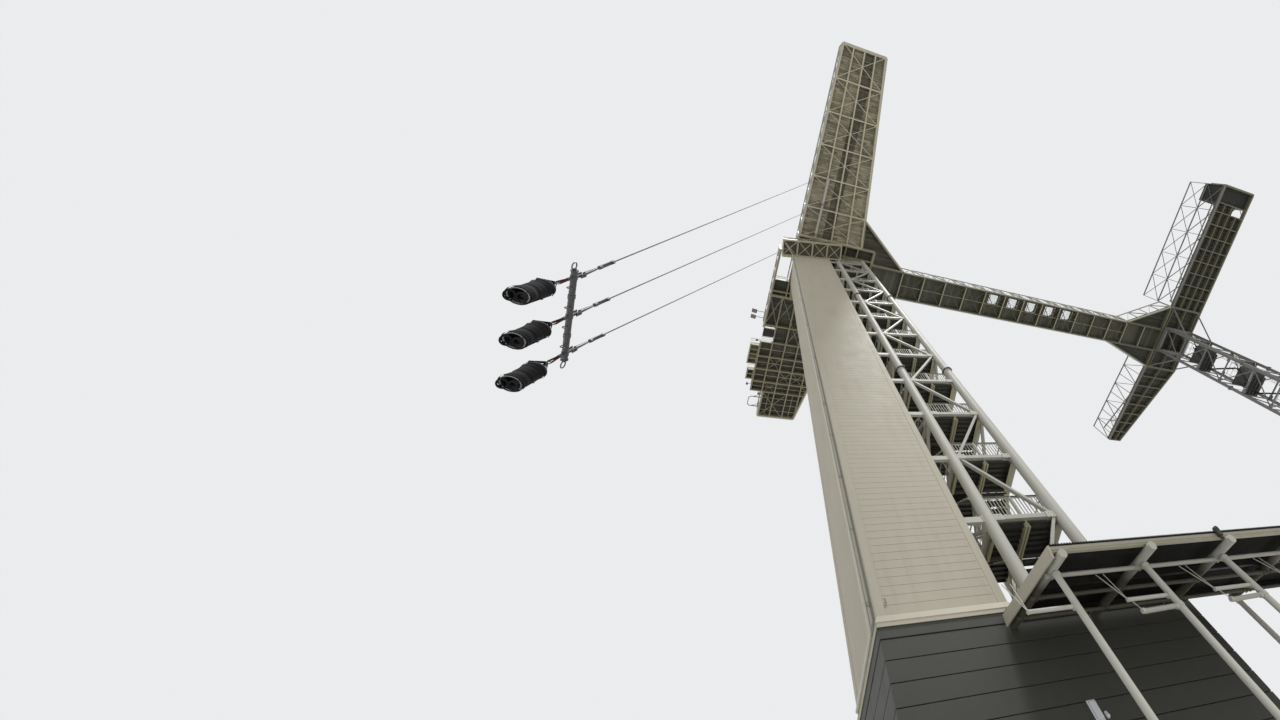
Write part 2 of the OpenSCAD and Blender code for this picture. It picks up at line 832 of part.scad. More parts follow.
module rear_jetty_trusses() {
    right_start = head_y1 + splay_start;
    color("gainsboro") {
        edge_truss([rear_x0, rear_well_y], [rear_x0, head_y1], truss_h, 2);
        edge_truss([rear_tip_x1, rear_y2], [rear_step_x, rear_y2], truss_h, 3);
        edge_truss([rear_right_x(right_start), right_start], [rear_tip_x1, rear_y2], truss_h, 6);
        edge_truss([rear_step_x, rear_y2], [rear_step_x, rear_y1 + truss_t], truss_h, 2);
    }
}

// Jump platforms on the left side of the rear jetty
platform_list = [[4400, 1050, 450], [5750, 550, 350]];

module jump_platforms() {
    color("darkolivegreen") for (p = platform_list)
        translate([rear_x0 - p[2], p[0], deck_z]) union() {
            linear_extrude(beam_h) flat_frame([[0, 0], [p[2], 0], [p[2], p[1]], [0, p[1]]],
                [[[0, p[1] / 2], [p[2], p[1] / 2]]], [], beam_w, under_brace_w);
            translate([0, 0, beam_h]) cube([p[2], p[1], plate_t]);
        }
}

// Bridge with the splayed corners at both ends
bridge_outline = [
    [head_x1, bridge_y0], [near_out_x, bridge_y0], [cross_x0, bridge_y0], [cross_x0, bridge_y1],
    [head_x1, bridge_y1]
];
near_splay = [
    [jetty_right_x(splay_y), splay_y], [near_knee_x, bridge_y0], [head_x1, bridge_y0],
    [head_x1, head_y0], [front_root_x1, head_y0]
];
far_splay = [
    [rear_right_x(head_y1 + splay_start), head_y1 + splay_start], [rear_root_x1, head_y1],
    [head_x1, head_y1], [head_x1, bridge_y1], [far_knee_x, bridge_y1]
];
near_out_splay = [[near_out_x, bridge_y0], [cross_x0, cross_y0], [cross_x0, bridge_y0]];
far_out_splay = [[far_out_x, bridge_y1], [cross_x0, bridge_y1], [cross_x0, cross_y1]];

// Glass floor squares in the bridge, near its near edge
glass_side = 520;
glass_first = 4;
glass_count = 5;

module glass_places() {
    for (i = [0 : glass_count - 1])
        translate([near_knee_x + (glass_first + i + 0.5) * bridge_bay, bridge_y0 + 420]) children();
}

module bridge_beams() {
    cross = concat(
        [for (i = [0 : bridge_bays]) [[near_knee_x + i * bridge_bay, bridge_y0 - 10],
            [near_knee_x + i * bridge_bay, bridge_y1 + 10]]],
        [[[near_out_x + 1400, bridge_y0 - 10], [near_out_x + 1400, bridge_y1 + 10]]]
    );
    braces = [for (i = [0 : bridge_bays - 1]) for (s = [0, 1])
        let (xa = near_knee_x + i * bridge_bay, xb = xa + bridge_bay)
        s == 0 ? [[xa, bridge_y0], [xb, bridge_y1]] : [[xa, bridge_y1], [xb, bridge_y0]]];
    color("tan") deck_frame(bridge_outline, cross, braces);
}

module bridge_plates() {
    color("darkolivegreen") difference() {
        deck_plate(bridge_outline);
        translate([0, 0, plate_z - 1]) linear_extrude(plate_t + 2)
        glass_places() square(glass_side, center = true);
    }
}

module bridge_glass() {
    color("lightblue", 0.5) translate([0, 0, plate_z]) linear_extrude(plate_t)
    glass_places() square(glass_side - 2 * fit, center = true);
}

module bridge_near_truss() {
    color("gainsboro") {
        trimmed_truss([near_knee_x, bridge_y0], [near_out_x, bridge_y0], truss_h, 2 * bridge_bays);
        trimmed_truss(near_splay[0], near_splay[1], truss_h, 4);
        trimmed_truss(near_out_splay[0], near_out_splay[1], truss_h, 4);
    }
}

module bridge_far_truss() {
    color("gainsboro") {
        trimmed_truss([far_out_x, bridge_y1], [far_knee_x, bridge_y1], truss_h, 2 * bridge_bays);
        trimmed_truss(far_splay[4], far_splay[0], truss_h, 4);
        trimmed_truss(far_out_splay[2], far_out_splay[0], truss_h, 4);
    }
}

// Outer cross with its two arms
near_arm_x0 = cross_x0 + 100;
hub_outline = [[cross_x0, cross_y0], [cross_x1, cross_y0], [cross_x1, cross_y1], [cross_x0, cross_y1]];
near_outline = [
    [near_arm_x0, near_tip_y], [cross_x1, near_tip_y], [cross_x1, cross_y0], [near_arm_x0, cross_y0]
];
far_outline = [
    [cross_x0, cross_y1], [cross_x1, cross_y1], [far_tip_x0 + far_tip_w, far_tip_y], [far_tip_x0, far_tip_y]
];
near_step = near_arm_len / near_bays;
winch_len = 1000;
winch_y1 = near_tip_y + winch_len;
near_deck_y = near_tip_y + near_step;
side_platform_w = 1500;
side_platform_x = near_arm_x0 + side_platform_w;
far_step = far_arm_len / far_bays;

module hub_beams() {
    members = concat(
        [for (y = [mast_y0, mast_y1, bridge_y0, bridge_y1]) [[cross_x0 - 10, y], [cross_x1 + 10, y]]],
        [for (x = [mast_x0, mast_x1, (mast_x0 + mast_x1) / 2]) [[x, cross_y0 - 10], [x, cross_y1 + 10]]]
    );
    color("tan") {
        deck_frame(hub_outline, members, []);
        deck_frame(near_out_splay, [], []);
        deck_frame(far_out_splay, [], []);
    }
}

module hub_plates() {
    color("darkolivegreen") {
        deck_plate(hub_outline);
        deck_plate(near_out_splay);
        deck_plate(far_out_splay);
    }
}

module near_arm_beams() {
    cross = [for (i = [1 : 2 * near_bays - 1]) let (y = cross_y0 - i * near_step / 2)
        [[near_arm_x0 - 10, y], [cross_x1 + 10, y]]];
    lines = [for (f = [0.25, 0.5, 0.75]) let (x = near_arm_x0 + f * (cross_x1 - near_arm_x0))
        [[x, near_tip_y - 10], [x, cross_y0 + 10]]];
    winch_edge = [[[near_arm_x0 - 10, winch_y1], [cross_x1 + 10, winch_y1]]];
    color("tan") difference() {
        deck_frame(near_outline, concat(cross, lines, winch_edge), []);
        translate([near_arm_x0 + beam_w, near_tip_y + beam_w, deck_z - 1])
        cube([cross_x1 - near_arm_x0 - 2 * beam_w, winch_len - 1.5 * beam_w, beam_h + 2]);
        translate([side_platform_x, winch_y1 + beam_w / 2, deck_z - 1])
        cube([cross_x1 - side_platform_x - beam_w, near_step - winch_len - beam_w, beam_h + 2]);
    }
}

// Plates up to the last bay, and beside the gap in it on the bridge side
module near_arm_plates() {
    color("darkolivegreen") deck_plate([
        [near_arm_x0, winch_y1 + 5], [side_platform_x, winch_y1 + 5], [side_platform_x, near_deck_y],
        [cross_x1, near_deck_y], [cross_x1, cross_y0], [near_arm_x0, cross_y0]
    ]);
}

module far_arm_beams() {
    cross = [for (i = [1 : 2 * far_bays - 1]) let (y = cross_y1 + i * far_step / 2)
        [[far_tip_x0 - 10, y], [cross_x1 + 10, y]]];
    lines = [[[cross_x0 + cross_w / 2, cross_y1 - 10], [far_tip_x0 + far_tip_w / 2, far_tip_y + 10]]];
    color("tan") deck_frame(far_outline, concat(cross, lines), []);
}

module far_arm_plates() {
    color("darkolivegreen") deck_plate(far_outline);
}

// Two-tier side frames of the near arm, all diagonals of the lower tier leaning one way
module near_frame(a, b, lean) {
    d = b - a;
    length = norm(d);
    lower = near_frame_h * 0.48;
    rod = 12;
    translate([a[0], a[1], deck_z]) rotate([0, 0, atan2(d[1], d[0])]) translate([0, -fit, 0]) union() {
        truss_face(length, lower + chord_w, near_bays, chord_w, web_w, truss_t, lean, rod);
        translate([0, 0, lower])
        truss_face(length, near_frame_h - lower, near_bays, chord_w, web_w, truss_t, "none", rod);
    }
}

module near_arm_frames() {
    color("gainsboro") {
        near_frame([near_arm_x0, cross_y0], [near_arm_x0, near_tip_y], "backward");
        near_frame([cross_x1, near_tip_y], [cross_x1, cross_y0], "forward");
        edge_truss([near_arm_x0, near_tip_y], [cross_x1, near_tip_y], truss_h, 3);
    }
}

module far_arm_frames() {
    color("gainsboro") {
        edge_truss([far_tip_x0, far_tip_y], [cross_x0, cross_y1], far_frame_h, 2 * far_bays);
        edge_truss([cross_x1, cross_y1], [far_tip_x0 + far_tip_w, far_tip_y], far_frame_h, 2 * far_bays);
        edge_truss([cross_x1, cross_y0], [cross_x1, cross_y1], truss_h, 6);
    }
}

// Winch house on the open frame at the near arm's tip, as wide as the arm: a floor and a hollow cabin
module winch_house() {
    house_w = cross_x1 - near_arm_x0;
    house_h = 1200;
    house_floor_t = 40;
    skin_t = 50;
    cabin_h = house_h - house_floor_t - fit;
    color("darkslategray") translate([near_arm_x0, near_tip_y, plate_z + fit]) {
        cube([house_w, winch_len, house_floor_t]);
        translate([0, 0, house_floor_t + fit]) difference() {
            cube([house_w, winch_len, cabin_h]);
            translate([skin_t, skin_t, -1])
            cube([house_w - 2 * skin_t, winch_len - 2 * skin_t, cabin_h - skin_t + 1]);
        }
    }
}

// Mast
mast_bay = mast_top / mast_bays;
mast_foot_t = 40;
ladder_w = 220;
ladder_x = (mast_x0 + mast_x1) / 2 - ladder_w / 2;
ladder_off = 30;
ladder_t = 30;
leg_places = [for (x = [mast_x0, mast_x1]) for (y = [mast_y0, mast_y1]) [x, y]];

module mast_legs() {
    foot_w = 420;
    color("gainsboro") for (p = leg_places) translate([p[0], p[1], 0]) union() {
        translate([-foot_w / 2, -foot_w / 2, 0]) cube([foot_w, foot_w, mast_foot_t]);
        translate([-leg_w / 2, -leg_w / 2, 0]) cube([leg_w, leg_w, mast_top]);
    }
}

// Ring of girders on top of the legs
module mast_head() {
    color("gainsboro") translate([mast_x0 - leg_w / 2, mast_y0 - leg_w / 2, mast_top]) difference() {
        cube([mast_w + leg_w, mast_d + leg_w, mast_head_h]);
        translate([leg_w, leg_w, -1]) cube([mast_w - leg_w, mast_d - leg_w, mast_head_h + 2]);
    }
}

// Lattice between two legs: a level member in each bay and crossed diagonals
module mast_side(span) {
    w = 70;
    dw = 40;
    linear_extrude(truss_t) intersection() {
        translate([0, mast_foot_t + fit]) square([span, mast_top - mast_foot_t - 2 * fit]);
        union() for (i = [0 : mast_bays - 1]) {
            z = i * mast_bay;
            if (i > 0) translate([0, z - w / 2]) square([span, w]);
            bar([0, i % 2 == 0 ? z : z + mast_bay], [span, i % 2 == 0 ? z + mast_bay : z], dw);
        }
    }
}

// Knee strut in the YZ plane from a leg's outer face up to the deck's edge beam
module knee_strut(leg_y, edge_y) {
    way = edge_y > leg_y ? 1 : -1;
    face_y = leg_y + way * (leg_w / 2 + fit);
    foot_z = (mast_bays - 1) * mast_bay;
    rotate([90, 0, 90]) linear_extrude(truss_t, center = true) intersection() {
        bar([leg_y, foot_z], [edge_y - way * 60, deck_z + 40], 60);
        translate([min(face_y, edge_y), foot_z - 100])
        square([abs(edge_y - face_y), deck_z - fit - foot_z + 100]);
    }
}

// Lattices between the legs, and the knee struts under the cross
module mast_lattices() {
    long_span = mast_w - leg_w;
    short_span = mast_d - leg_w;
    color("gainsboro") {
        for (x = [mast_x0, mast_x1]) translate([x, 0, 0]) {
            knee_strut(mast_y0, cross_y0);
            knee_strut(mast_y1, cross_y1);
        }
        for (y = [mast_y0, mast_y1])
            translate([mast_x0 + leg_w / 2, y + truss_t / 2, 0]) rotate([90, 0, 0]) mast_side(long_span);
        for (x = [mast_x0, mast_x1])
            translate([x - truss_t / 2, mast_y0 + leg_w / 2, 0]) rotate([90, 0, 90]) mast_side(short_span);
    }
}

// Rest platforms inside the mast, over half its plan, left and right by turns, open round the ladder
module mast_platforms() {
    inner_w = mast_w - truss_t;
    inner_d = mast_d - truss_t;
    hatch_w = ladder_w + 80;
    hatch_d = 320;
    x0 = mast_x0 + truss_t / 2;
    y0 = mast_y0 + truss_t / 2;
    color("darkslategray") for (i = [1 : mast_bays - 1]) difference() {
        translate([x0 + (i % 2) * inner_w / 2, y0, i * mast_bay - 20]) cube([inner_w / 2, inner_d, 40]);
        for (p = leg_places) translate([p[0], p[1], i * mast_bay])
            cube([leg_w + 10, leg_w + 10, 50], center = true);
        translate([ladder_x - 40, y0 - 1, i * mast_bay - 30]) cube([hatch_w, hatch_d, 60]);
    }
}

// Ladder held by a pair of tabs at each level member
module mast_ladder() {
    rung_step = 150;
    stile_w = 24;
    color("silver") translate([ladder_x, mast_y0 + truss_t / 2, 0]) union() {
        translate([0, ladder_off + ladder_t, 0]) rotate([90, 0, 0]) linear_extrude(ladder_t) union() {
            for (s = [0, ladder_w - stile_w]) translate([s, 0]) square([stile_w, mast_top - 10]);
            for (z = [rung_step : rung_step : mast_top - 60]) translate([0, z]) square([ladder_w, 16]);
        }
        for (i = [1 : mast_bays - 1]) for (s = [0, ladder_w - stile_w])
            translate([s, fit, i * mast_bay - 10]) cube([stile_w, ladder_off, 20]);
    }
}

// Swing: three hangers under the front jetty, each with a pin between two ears
hanger_places = [for (i = [0 : 2]) hanger_y - i * hanger_step];
ear_gap = 40;
ear_t = 16;

module swing_hangers() {
    ear_w = 90;
    beam_d = 60;
    color("gainsboro") union() {
        translate([hinge_x - 50, head_y0 - front_bay * 2 - beam_w / 2, deck_z - beam_d])
        cube([100, front_bay * 2 + beam_w / 2, beam_d]);
        for (y = hanger_places) translate([hinge_x, y, hinge_z]) rotate([90, 0, 0]) union() {
            for (s = [-1, 1]) translate([0, 0, s * (ear_gap + ear_t) / 2])
                linear_extrude(ear_t, center = true) union() {
                    circle(d = ear_w);
                    translate([-ear_w / 2, 0]) square([ear_w, deck_z - beam_d - hinge_z]);
                }
            cylinder(r = pin_r, h = ear_gap + 2 * ear_t + 20, center = true);
        }
    }
}

// Everything that swings is drawn hanging straight down and then turned to its rest angle
module swung() {
    translate([hinge_x, hanger_y - hanger_step, hinge_z]) rotate([0, swing_angle, 0]) children();
}

cable_low = swing_len - 120;
cable_spread = spreader_w / 2 - 60;

module strut(a, b, d) {
    v = b - a;
    translate(a) rotate([0, acos(v[2] / norm(v)), atan2(v[1], v[0])])
    cylinder(d = d, h = norm(v), $fn = 12);
}

module swing_cables() {
    eye_r = 34;
    color("dimgray") swung() for (i = [-1, 0, 1]) {
        top = [0, i * hanger_step, -eye_r - 30];
        low = [0, i * cable_spread, 0.5 - cable_low];
        union() {
            translate([0, i * hanger_step, 0]) rotate([90, 0, 0]) difference() {
                union() {
                    cylinder(r = eye_r, h = ear_gap - 6, center = true);
                    translate([-20, -eye_r - 40, -(ear_gap - 6) / 2]) cube([40, 60, ear_gap - 6]);
                }
                cylinder(r = pin_r + 0.5, h = ear_gap, center = true);
            }
            strut(top, low, cable_d);
        }
    }
}

// Spreader bar with three lugs under the cables and three below for the harness
module spreader_bar() {
    bar_d = 56;
    color("silver") swung() union() {
        translate([0, 0, -swing_len]) rotate([90, 0, 0]) cylinder(d = bar_d, h = spreader_w, center = true);
        for (i = [-1, 0, 1]) {
            translate([-15, i * cable_spread - 10, -swing_len]) cube([30, 20, 120 - fit]);
            translate([-15, i * cable_spread - 10, -swing_len - 90]) cube([30, 20, 90]);
        }
    }
}

// Empty harness straps below the bar
module rider_harness() {
    strap_w = 26;
    strap_t = 6;
    drop = 620;
    color("black") swung() for (i = [-1, 0, 1])
        translate([0, i * cable_spread, -swing_len - 90 - fit]) union() {
            for (s = [-1, 1]) rotate([90, 0, 0]) linear_extrude(strap_w, center = true)
                bar([0, -1], [s * 130, -drop], strap_t);
            translate([-133, -strap_w / 2, -drop - 12]) cube([266, strap_w, 14]);
        }
}

floor_slab();
front_wall();
door_head();
side_walls();
rear_wall();
base_roof();
canopy_roof();
canopy_frame();
canopy_fascia();
canopy_posts();
wall_lamp();
shaft_front();
shaft_sides();
shaft_rear();
shaft_downpipe();
stair_columns();
stair_front_frame();
stair_side_frames();
stair_rear_frame();
shaft_ties();
stair_landings();
stair_stringers();
stair_treads();
landing_rails();
head_grillage();
head_beams();
head_plates();
head_rails();
lift_house();
service_balcony();
front_jetty_beams();
front_jetty_plates();
front_jetty_trusses();
rear_jetty_beams();
rear_jetty_plates();
rear_jetty_trusses();
jump_platforms();
bridge_beams();
bridge_plates();
bridge_glass();
bridge_near_truss();
bridge_far_truss();
hub_beams();
hub_plates();
near_arm_beams();
near_arm_plates();
far_arm_beams();
far_arm_plates();
near_arm_frames();
far_arm_frames();
winch_house();
mast_head();
mast_legs();
mast_lattices();
mast_platforms();
mast_ladder();
swing_hangers();
swing_cables();
spreader_bar();
rider_harness();
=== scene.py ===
# Jump and giant-swing tower at half size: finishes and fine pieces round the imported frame.
# Metres. x runs along the bridge, y away from the entrance side, z up.
import json
import math

import bmesh
import bpy
from mathutils import Matrix, Vector

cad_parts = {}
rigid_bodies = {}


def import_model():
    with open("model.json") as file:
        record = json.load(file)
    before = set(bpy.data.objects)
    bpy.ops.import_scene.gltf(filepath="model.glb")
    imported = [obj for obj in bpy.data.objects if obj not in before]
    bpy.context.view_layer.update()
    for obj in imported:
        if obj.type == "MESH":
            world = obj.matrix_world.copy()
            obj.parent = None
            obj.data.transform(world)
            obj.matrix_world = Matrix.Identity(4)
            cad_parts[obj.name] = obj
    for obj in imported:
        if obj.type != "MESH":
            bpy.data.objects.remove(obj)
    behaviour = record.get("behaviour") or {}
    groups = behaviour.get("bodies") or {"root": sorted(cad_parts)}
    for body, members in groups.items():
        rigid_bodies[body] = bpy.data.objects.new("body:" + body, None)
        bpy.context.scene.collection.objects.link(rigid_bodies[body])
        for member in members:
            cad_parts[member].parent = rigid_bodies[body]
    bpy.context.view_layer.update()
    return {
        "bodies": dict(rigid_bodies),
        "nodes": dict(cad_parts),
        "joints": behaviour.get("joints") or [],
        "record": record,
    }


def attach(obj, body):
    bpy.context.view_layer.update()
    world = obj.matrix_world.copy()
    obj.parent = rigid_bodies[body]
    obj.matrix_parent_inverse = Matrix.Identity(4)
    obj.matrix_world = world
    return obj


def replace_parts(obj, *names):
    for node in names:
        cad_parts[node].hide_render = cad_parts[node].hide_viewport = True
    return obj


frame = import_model()
scene = bpy.context.scene
print("frame loaded:", len(frame["nodes"]), "nodes")

# Camera: close to the tower's left front corner, looking steeply up with a wide lens
cameraView = {
    "place": (-4.277, -5.197, 0.365),
    "heading": 37.16,  # degrees from +x towards +y
    "tilt": 67.29,  # degrees above the horizon
    "roll": -39.12,
    "lens": 13.4,  # on a sensor 36 mm wide
    "shift": (-0.1984, -0.0495),
}


def addToScene(name, data):
    thing = bpy.data.objects.new(name, data)
    scene.collection.objects.link(thing)
    return thing


def makeCamera(view):
    heading, tilt, roll = (math.radians(view[k]) for k in ("heading", "tilt", "roll"))
    ahead = Vector((math.cos(tilt) * math.cos(heading), math.cos(tilt) * math.sin(heading), math.sin(tilt)))
    level = ahead.cross(Vector((0, 0, 1))).normalized()
    upright = level.cross(ahead)
    right = math.cos(roll) * level + math.sin(roll) * upright
    top = -math.sin(roll) * level + math.cos(roll) * upright
    data = bpy.data.cameras.new("photoCamera")
    data.lens = view["lens"]
    data.sensor_width = 36
    data.shift_x, data.shift_y = view["shift"]
    data.clip_start, data.clip_end = 0.05, 500
    scene.camera = addToScene("photoCamera", data)
    turn = Matrix((right, top, -ahead)).transposed().to_4x4()
    scene.camera.matrix_world = Matrix.Translation(view["place"]) @ turn


makeCamera(cameraView)

# Floor, backdrop and lights
stageLook = {
    "floorRadius": 420,
    "floorColour": (0.56, 0.56, 0.55, 1),
    "skyColour": (0.83, 0.84, 0.85, 1),
    "fillStrength": 0.48,
    "sunStrength": 2.7,
    "sunAngle": 14,  # degrees across, for soft shadows
    "sunFrom": (0.13, -0.32, 1.0),
}


def makeStage(look):
    bm = bmesh.new()
    bmesh.ops.create_circle(bm, segments=96, radius=look["floorRadius"], cap_ends=True)
    mesh = bpy.data.meshes.new("floor")
    bm.to_mesh(mesh)
    bm.free()
    floor = addToScene("floor", mesh)
    floor.location.z = -0.001
    paint = bpy.data.materials.new("floorPaint")
    paint.use_nodes = True
    shader = paint.node_tree.nodes["Principled BSDF"]
    shader.inputs["Base Color"].default_value = look["floorColour"]
    shader.inputs["Roughness"].default_value = 0.9
    mesh.materials.append(paint)

    # The sky is seen in its own colour, but lights the part with an even white
    world = bpy.data.worlds.new("softSky")
    world.use_nodes = True
    scene.world = world
    nodes, links = world.node_tree.nodes, world.node_tree.links
    fill = nodes["Background"]
    fill.inputs["Color"].default_value = (1, 1, 1, 1)
    fill.inputs["Strength"].default_value = look["fillStrength"]
    seen = nodes.new("ShaderNodeBackground")
    seen.inputs["Color"].default_value = look["skyColour"]
    path = nodes.new("ShaderNodeLightPath")
    share = path.outputs["Is Camera Ray"]
    for ray in ("Is Glossy Ray", "Is Transmission Ray"):
        either = nodes.new("ShaderNodeMath")
        either.operation, either.use_clamp = "ADD", True
        links.new(share, either.inputs[0])
        links.new(path.outputs[ray], either.inputs[1])
        share = either.outputs[0]
    mix = nodes.new("ShaderNodeMixShader")
    for socket, source in enumerate((share, fill.outputs[0], seen.outputs[0])):
        links.new(source, mix.inputs[socket])
    links.new(mix.outputs[0], nodes["World Output"].inputs["Surface"])

    sun = bpy.data.lights.new("softSun", "SUN")
    sun.energy = look["sunStrength"]
    sun.angle = math.radians(look["sunAngle"])
    lamp = addToScene("softSun", sun)
    lamp.rotation_mode = "QUATERNION"
    lamp.rotation_quaternion = Vector(look["sunFrom"]).to_track_quat("Z", "Y")


makeStage(stageLook)
scene.view_settings.view_transform = "Standard"
print("camera and stage ready")

towerDegrees = 7  # how far the building and its stair stand turned about the origin, clockwise from above


# Finishes
class Finish:
    # A node material that starts from object coordinates
    def __init__(self, name, gloss=0.5):
        self.material = bpy.data.materials.new(name)
        self.material.use_nodes = True
        self.nodes = self.material.node_tree.nodes
        self.links = self.material.node_tree.links
        self.shader = self.nodes["Principled BSDF"]
        self.shader.inputs["Specular IOR Level"].default_value = gloss
        self.place = self.nodes.new("ShaderNodeTexCoord").outputs["Object"]

    def node(self, kind, **settings):
        made = self.nodes.new(kind)
        for key, value in settings.items():
            setattr(made, key, value)
        return made

    def feed(self, value, socket):
        # Links another node's output, or sets a plain value
        if hasattr(value, "is_output"):
            self.links.new(value, socket)
        else:
            socket.default_value = value

    def mapped(self, scale=(1, 1, 1), turn=(0, 0, 0)):
        mapping = self.node("ShaderNodeMapping")
        mapping.inputs["Scale"].default_value = scale
        mapping.inputs["Rotation"].default_value = [math.radians(angle) for angle in turn]
        self.feed(self.place, mapping.inputs["Vector"])
        return mapping.outputs["Vector"]

    def axes(self, turn=0):
        parts = self.node("ShaderNodeSeparateXYZ")
        self.feed(self.mapped(turn=(0, 0, turn)), parts.inputs["Vector"])
        return parts.outputs

    def noise(self, size, detail=4, scale=(1, 1, 1)):
        made = self.node("ShaderNodeTexNoise")
        made.inputs["Scale"].default_value = 1 / size
        made.inputs["Detail"].default_value = detail
        made.inputs["Roughness"].default_value = 0.55
        self.feed(self.mapped(scale), made.inputs["Vector"])
        return made.outputs["Fac"]

    def ramp(self, fac, low, high):
        made = self.node("ShaderNodeValToRGB")
        for element, position, level in zip(made.color_ramp.elements, (low, high), (0, 1)):
            element.position = position
            element.color = (level, level, level, 1)
        self.feed(fac, made.inputs["Fac"])
        return made.outputs["Color"]

    def blendColour(self, fac, first, second):
        made = self.node("ShaderNodeMix", data_type="RGBA")
        for value, socket in zip((fac, first, second), (0, 6, 7)):
            self.feed(value, made.inputs[socket])
        return made.outputs[2]

    def calc(self, operation, first, second=0):
        made = self.node("ShaderNodeMath", operation=operation)
        self.feed(first, made.inputs[0])
        self.feed(second, made.inputs[1])
        return made.outputs[0]

    def span(self, fac, low, high, fromLow=0, fromHigh=1):
        made = self.node("ShaderNodeMapRange")
        names = ("Value", "From Min", "From Max", "To Min", "To Max")
        for value, name in zip((fac, fromLow, fromHigh, low, high), names):
            self.feed(value, made.inputs[name])
        return made.outputs["Result"]

    def within(self, axis, low, high, turn=0):
        # One where the coordinate lies between low and high, nought elsewhere
        place = self.axes(turn)[axis]
        return self.calc("MULTIPLY", self.calc("GREATER_THAN", place, low), self.calc("LESS_THAN", place, high))

    def cloudy(self, colour, less, more, size=0.8):
        return self.blendColour(self.noise(size, 5), shade(colour, less), shade(colour, more))

    def over(self, tone, colour, mask, much=1):
        # Lays a colour over a tone, as much as mask times much
        return self.blendColour(self.calc("MULTIPLY", mask, much), tone, colour)

    def weather(self, tone, streak, grime=(0.16, 0.14, 0.09)):
        # Runs of dirt down the surface, and specks
        tone = self.over(tone, grime + (1,), self.ramp(self.noise(0.16, 6, (1, 1, 0.08)), 0.52, 0.78), streak)
        tone = self.over(tone, grime + (1,), self.ramp(self.noise(0.02, 3), 0.66, 0.74), streak * 0.8)
        self.feed(tone, self.shader.inputs["Base Color"])

    def skin(self, source, low, high, height, strength=0.15, depth=0.002):
        # Roughness between low and high, and the bump
        self.feed(self.span(source, low, high), self.shader.inputs["Roughness"])
        bump = self.node("ShaderNodeBump")
        for value, name in ((strength, "Strength"), (depth, "Distance"), (height, "Height")):
            self.feed(value, bump.inputs[name])
        self.feed(bump.outputs["Normal"], self.shader.inputs["Normal"])

    def painted(self, tone, streak, rough, grime=(0.16, 0.14, 0.09)):
        # How all coats of paint end: dirt, cloudy roughness and a fine orange-peel skin
        self.weather(tone, streak, grime)
        self.skin(self.noise(0.3, 4), *rough, self.noise(0.012, 3))
        return self.material


def shade(colour, factor):
    return tuple(c * factor for c in colour) + (1,)


# Weathered paint: cloudy tone, streaks that run down, a fine skin
def paintFinish(name, colour, rough=0.45, cloud=0.12, streak=0.15, metal=0.0, gloss=0.5):
    made = Finish(name, gloss)
    made.shader.inputs["Metallic"].default_value = metal
    return made.painted(made.cloudy(colour, 1 - cloud, 1 + cloud / 2), streak, (rough - 0.08, rough + 0.14))


# Cladding paint, with one short drip of rust low on the shaft
def claddingFinish(colour, grime, rust, uSpan, zSpan):
    made = Finish("creamCladding", 0.12)
    place = made.calc("MULTIPLY", made.within("X", *uSpan, towerDegrees), made.within("Z", *zSpan))
    drip = made.ramp(made.noise(0.022, 4, (1, 1, 0.35)), 0.38, 0.72)
    return made.painted(made.over(made.cloudy(colour, 0.94, 1.03), rust + (1,), place, drip), 0.20, (0.47, 0.69), grime)


# Battens under the canopy darkened to the sheet's near black as painted shade; the boards round the canopy's rim stay
# cream
def fasciaShadeFinish(colour, dark, uSpan, vSpan):
    made = Finish("canopyFascia")
    inner = (made.within(axis, *span, towerDegrees) for axis, span in (("X", uSpan), ("Y", vSpan)))
    return made.painted(made.over(made.cloudy(colour, 0.9, 1.05, 0.5), dark + (1,), *inner), 0.12, (0.4, 0.6))


# Tubes under the canopy: their own colour at the eave, darkening towards the wall as painted shade
def canopyTubeShadeFinish(colour, dark, eave, inner):
    made = Finish("canopyTubeShaded", 0.25)
    depth = made.span(made.axes(towerDegrees)["Y"], 0, 1, eave, inner)
    tone = made.blendColour(depth, made.cloudy(colour, 0.92, 1.05, 0.5), dark + (1,))
    return made.painted(tone, 0.18, (0.45, 0.65))


# Boards or sheets laid in rows: each row has its own tone, a dark joint and grain along it
def rowFinish(name, colour, axis, pitch, spread, sheet=0, strip=None):
    made = Finish(name)
    places = made.axes()
    across = made.calc("DIVIDE", places[axis], pitch)
    row = made.calc("FLOOR", across)
    if sheet:
        along = made.calc("DIVIDE", places["Y" if axis == "X" else "X"], sheet)
        shifted = made.calc("ADD", along, made.calc("MULTIPLY", row, 0.37))
        row = made.calc("ADD", made.calc("MULTIPLY", made.calc("FLOOR", shifted), 17.0), row)
    chance = made.node("ShaderNodeTexWhiteNoise", noise_dimensions="1D")
    made.feed(row, chance.inputs["W"])
    tone = made.blendColour(chance.outputs["Value"], shade(colour, 1 - spread), shade(colour, 1 + spread))
    grain = made.noise(0.03, 6, (1, 0.06, 1) if axis == "X" else (0.06, 1, 1))
    tone = made.over(tone, shade(colour, 0.35), made.ramp(grain, 0.45, 0.75), spread)
    tone = made.over(tone, shade(colour, 0.2), made.calc("LESS_THAN", made.calc("FRACT", across), 0.08), 0.75)
    if strip:
        tone = made.over(tone, shade(colour, 0.16), made.within("X", *strip), made.span(made.noise(0.5, 3), 0.55, 1.0))
    made.weather(tone, 0.2, (0.05, 0.048, 0.03))
    made.skin(grain, 0.5, 0.75, grain, 0.3)
    return made.material


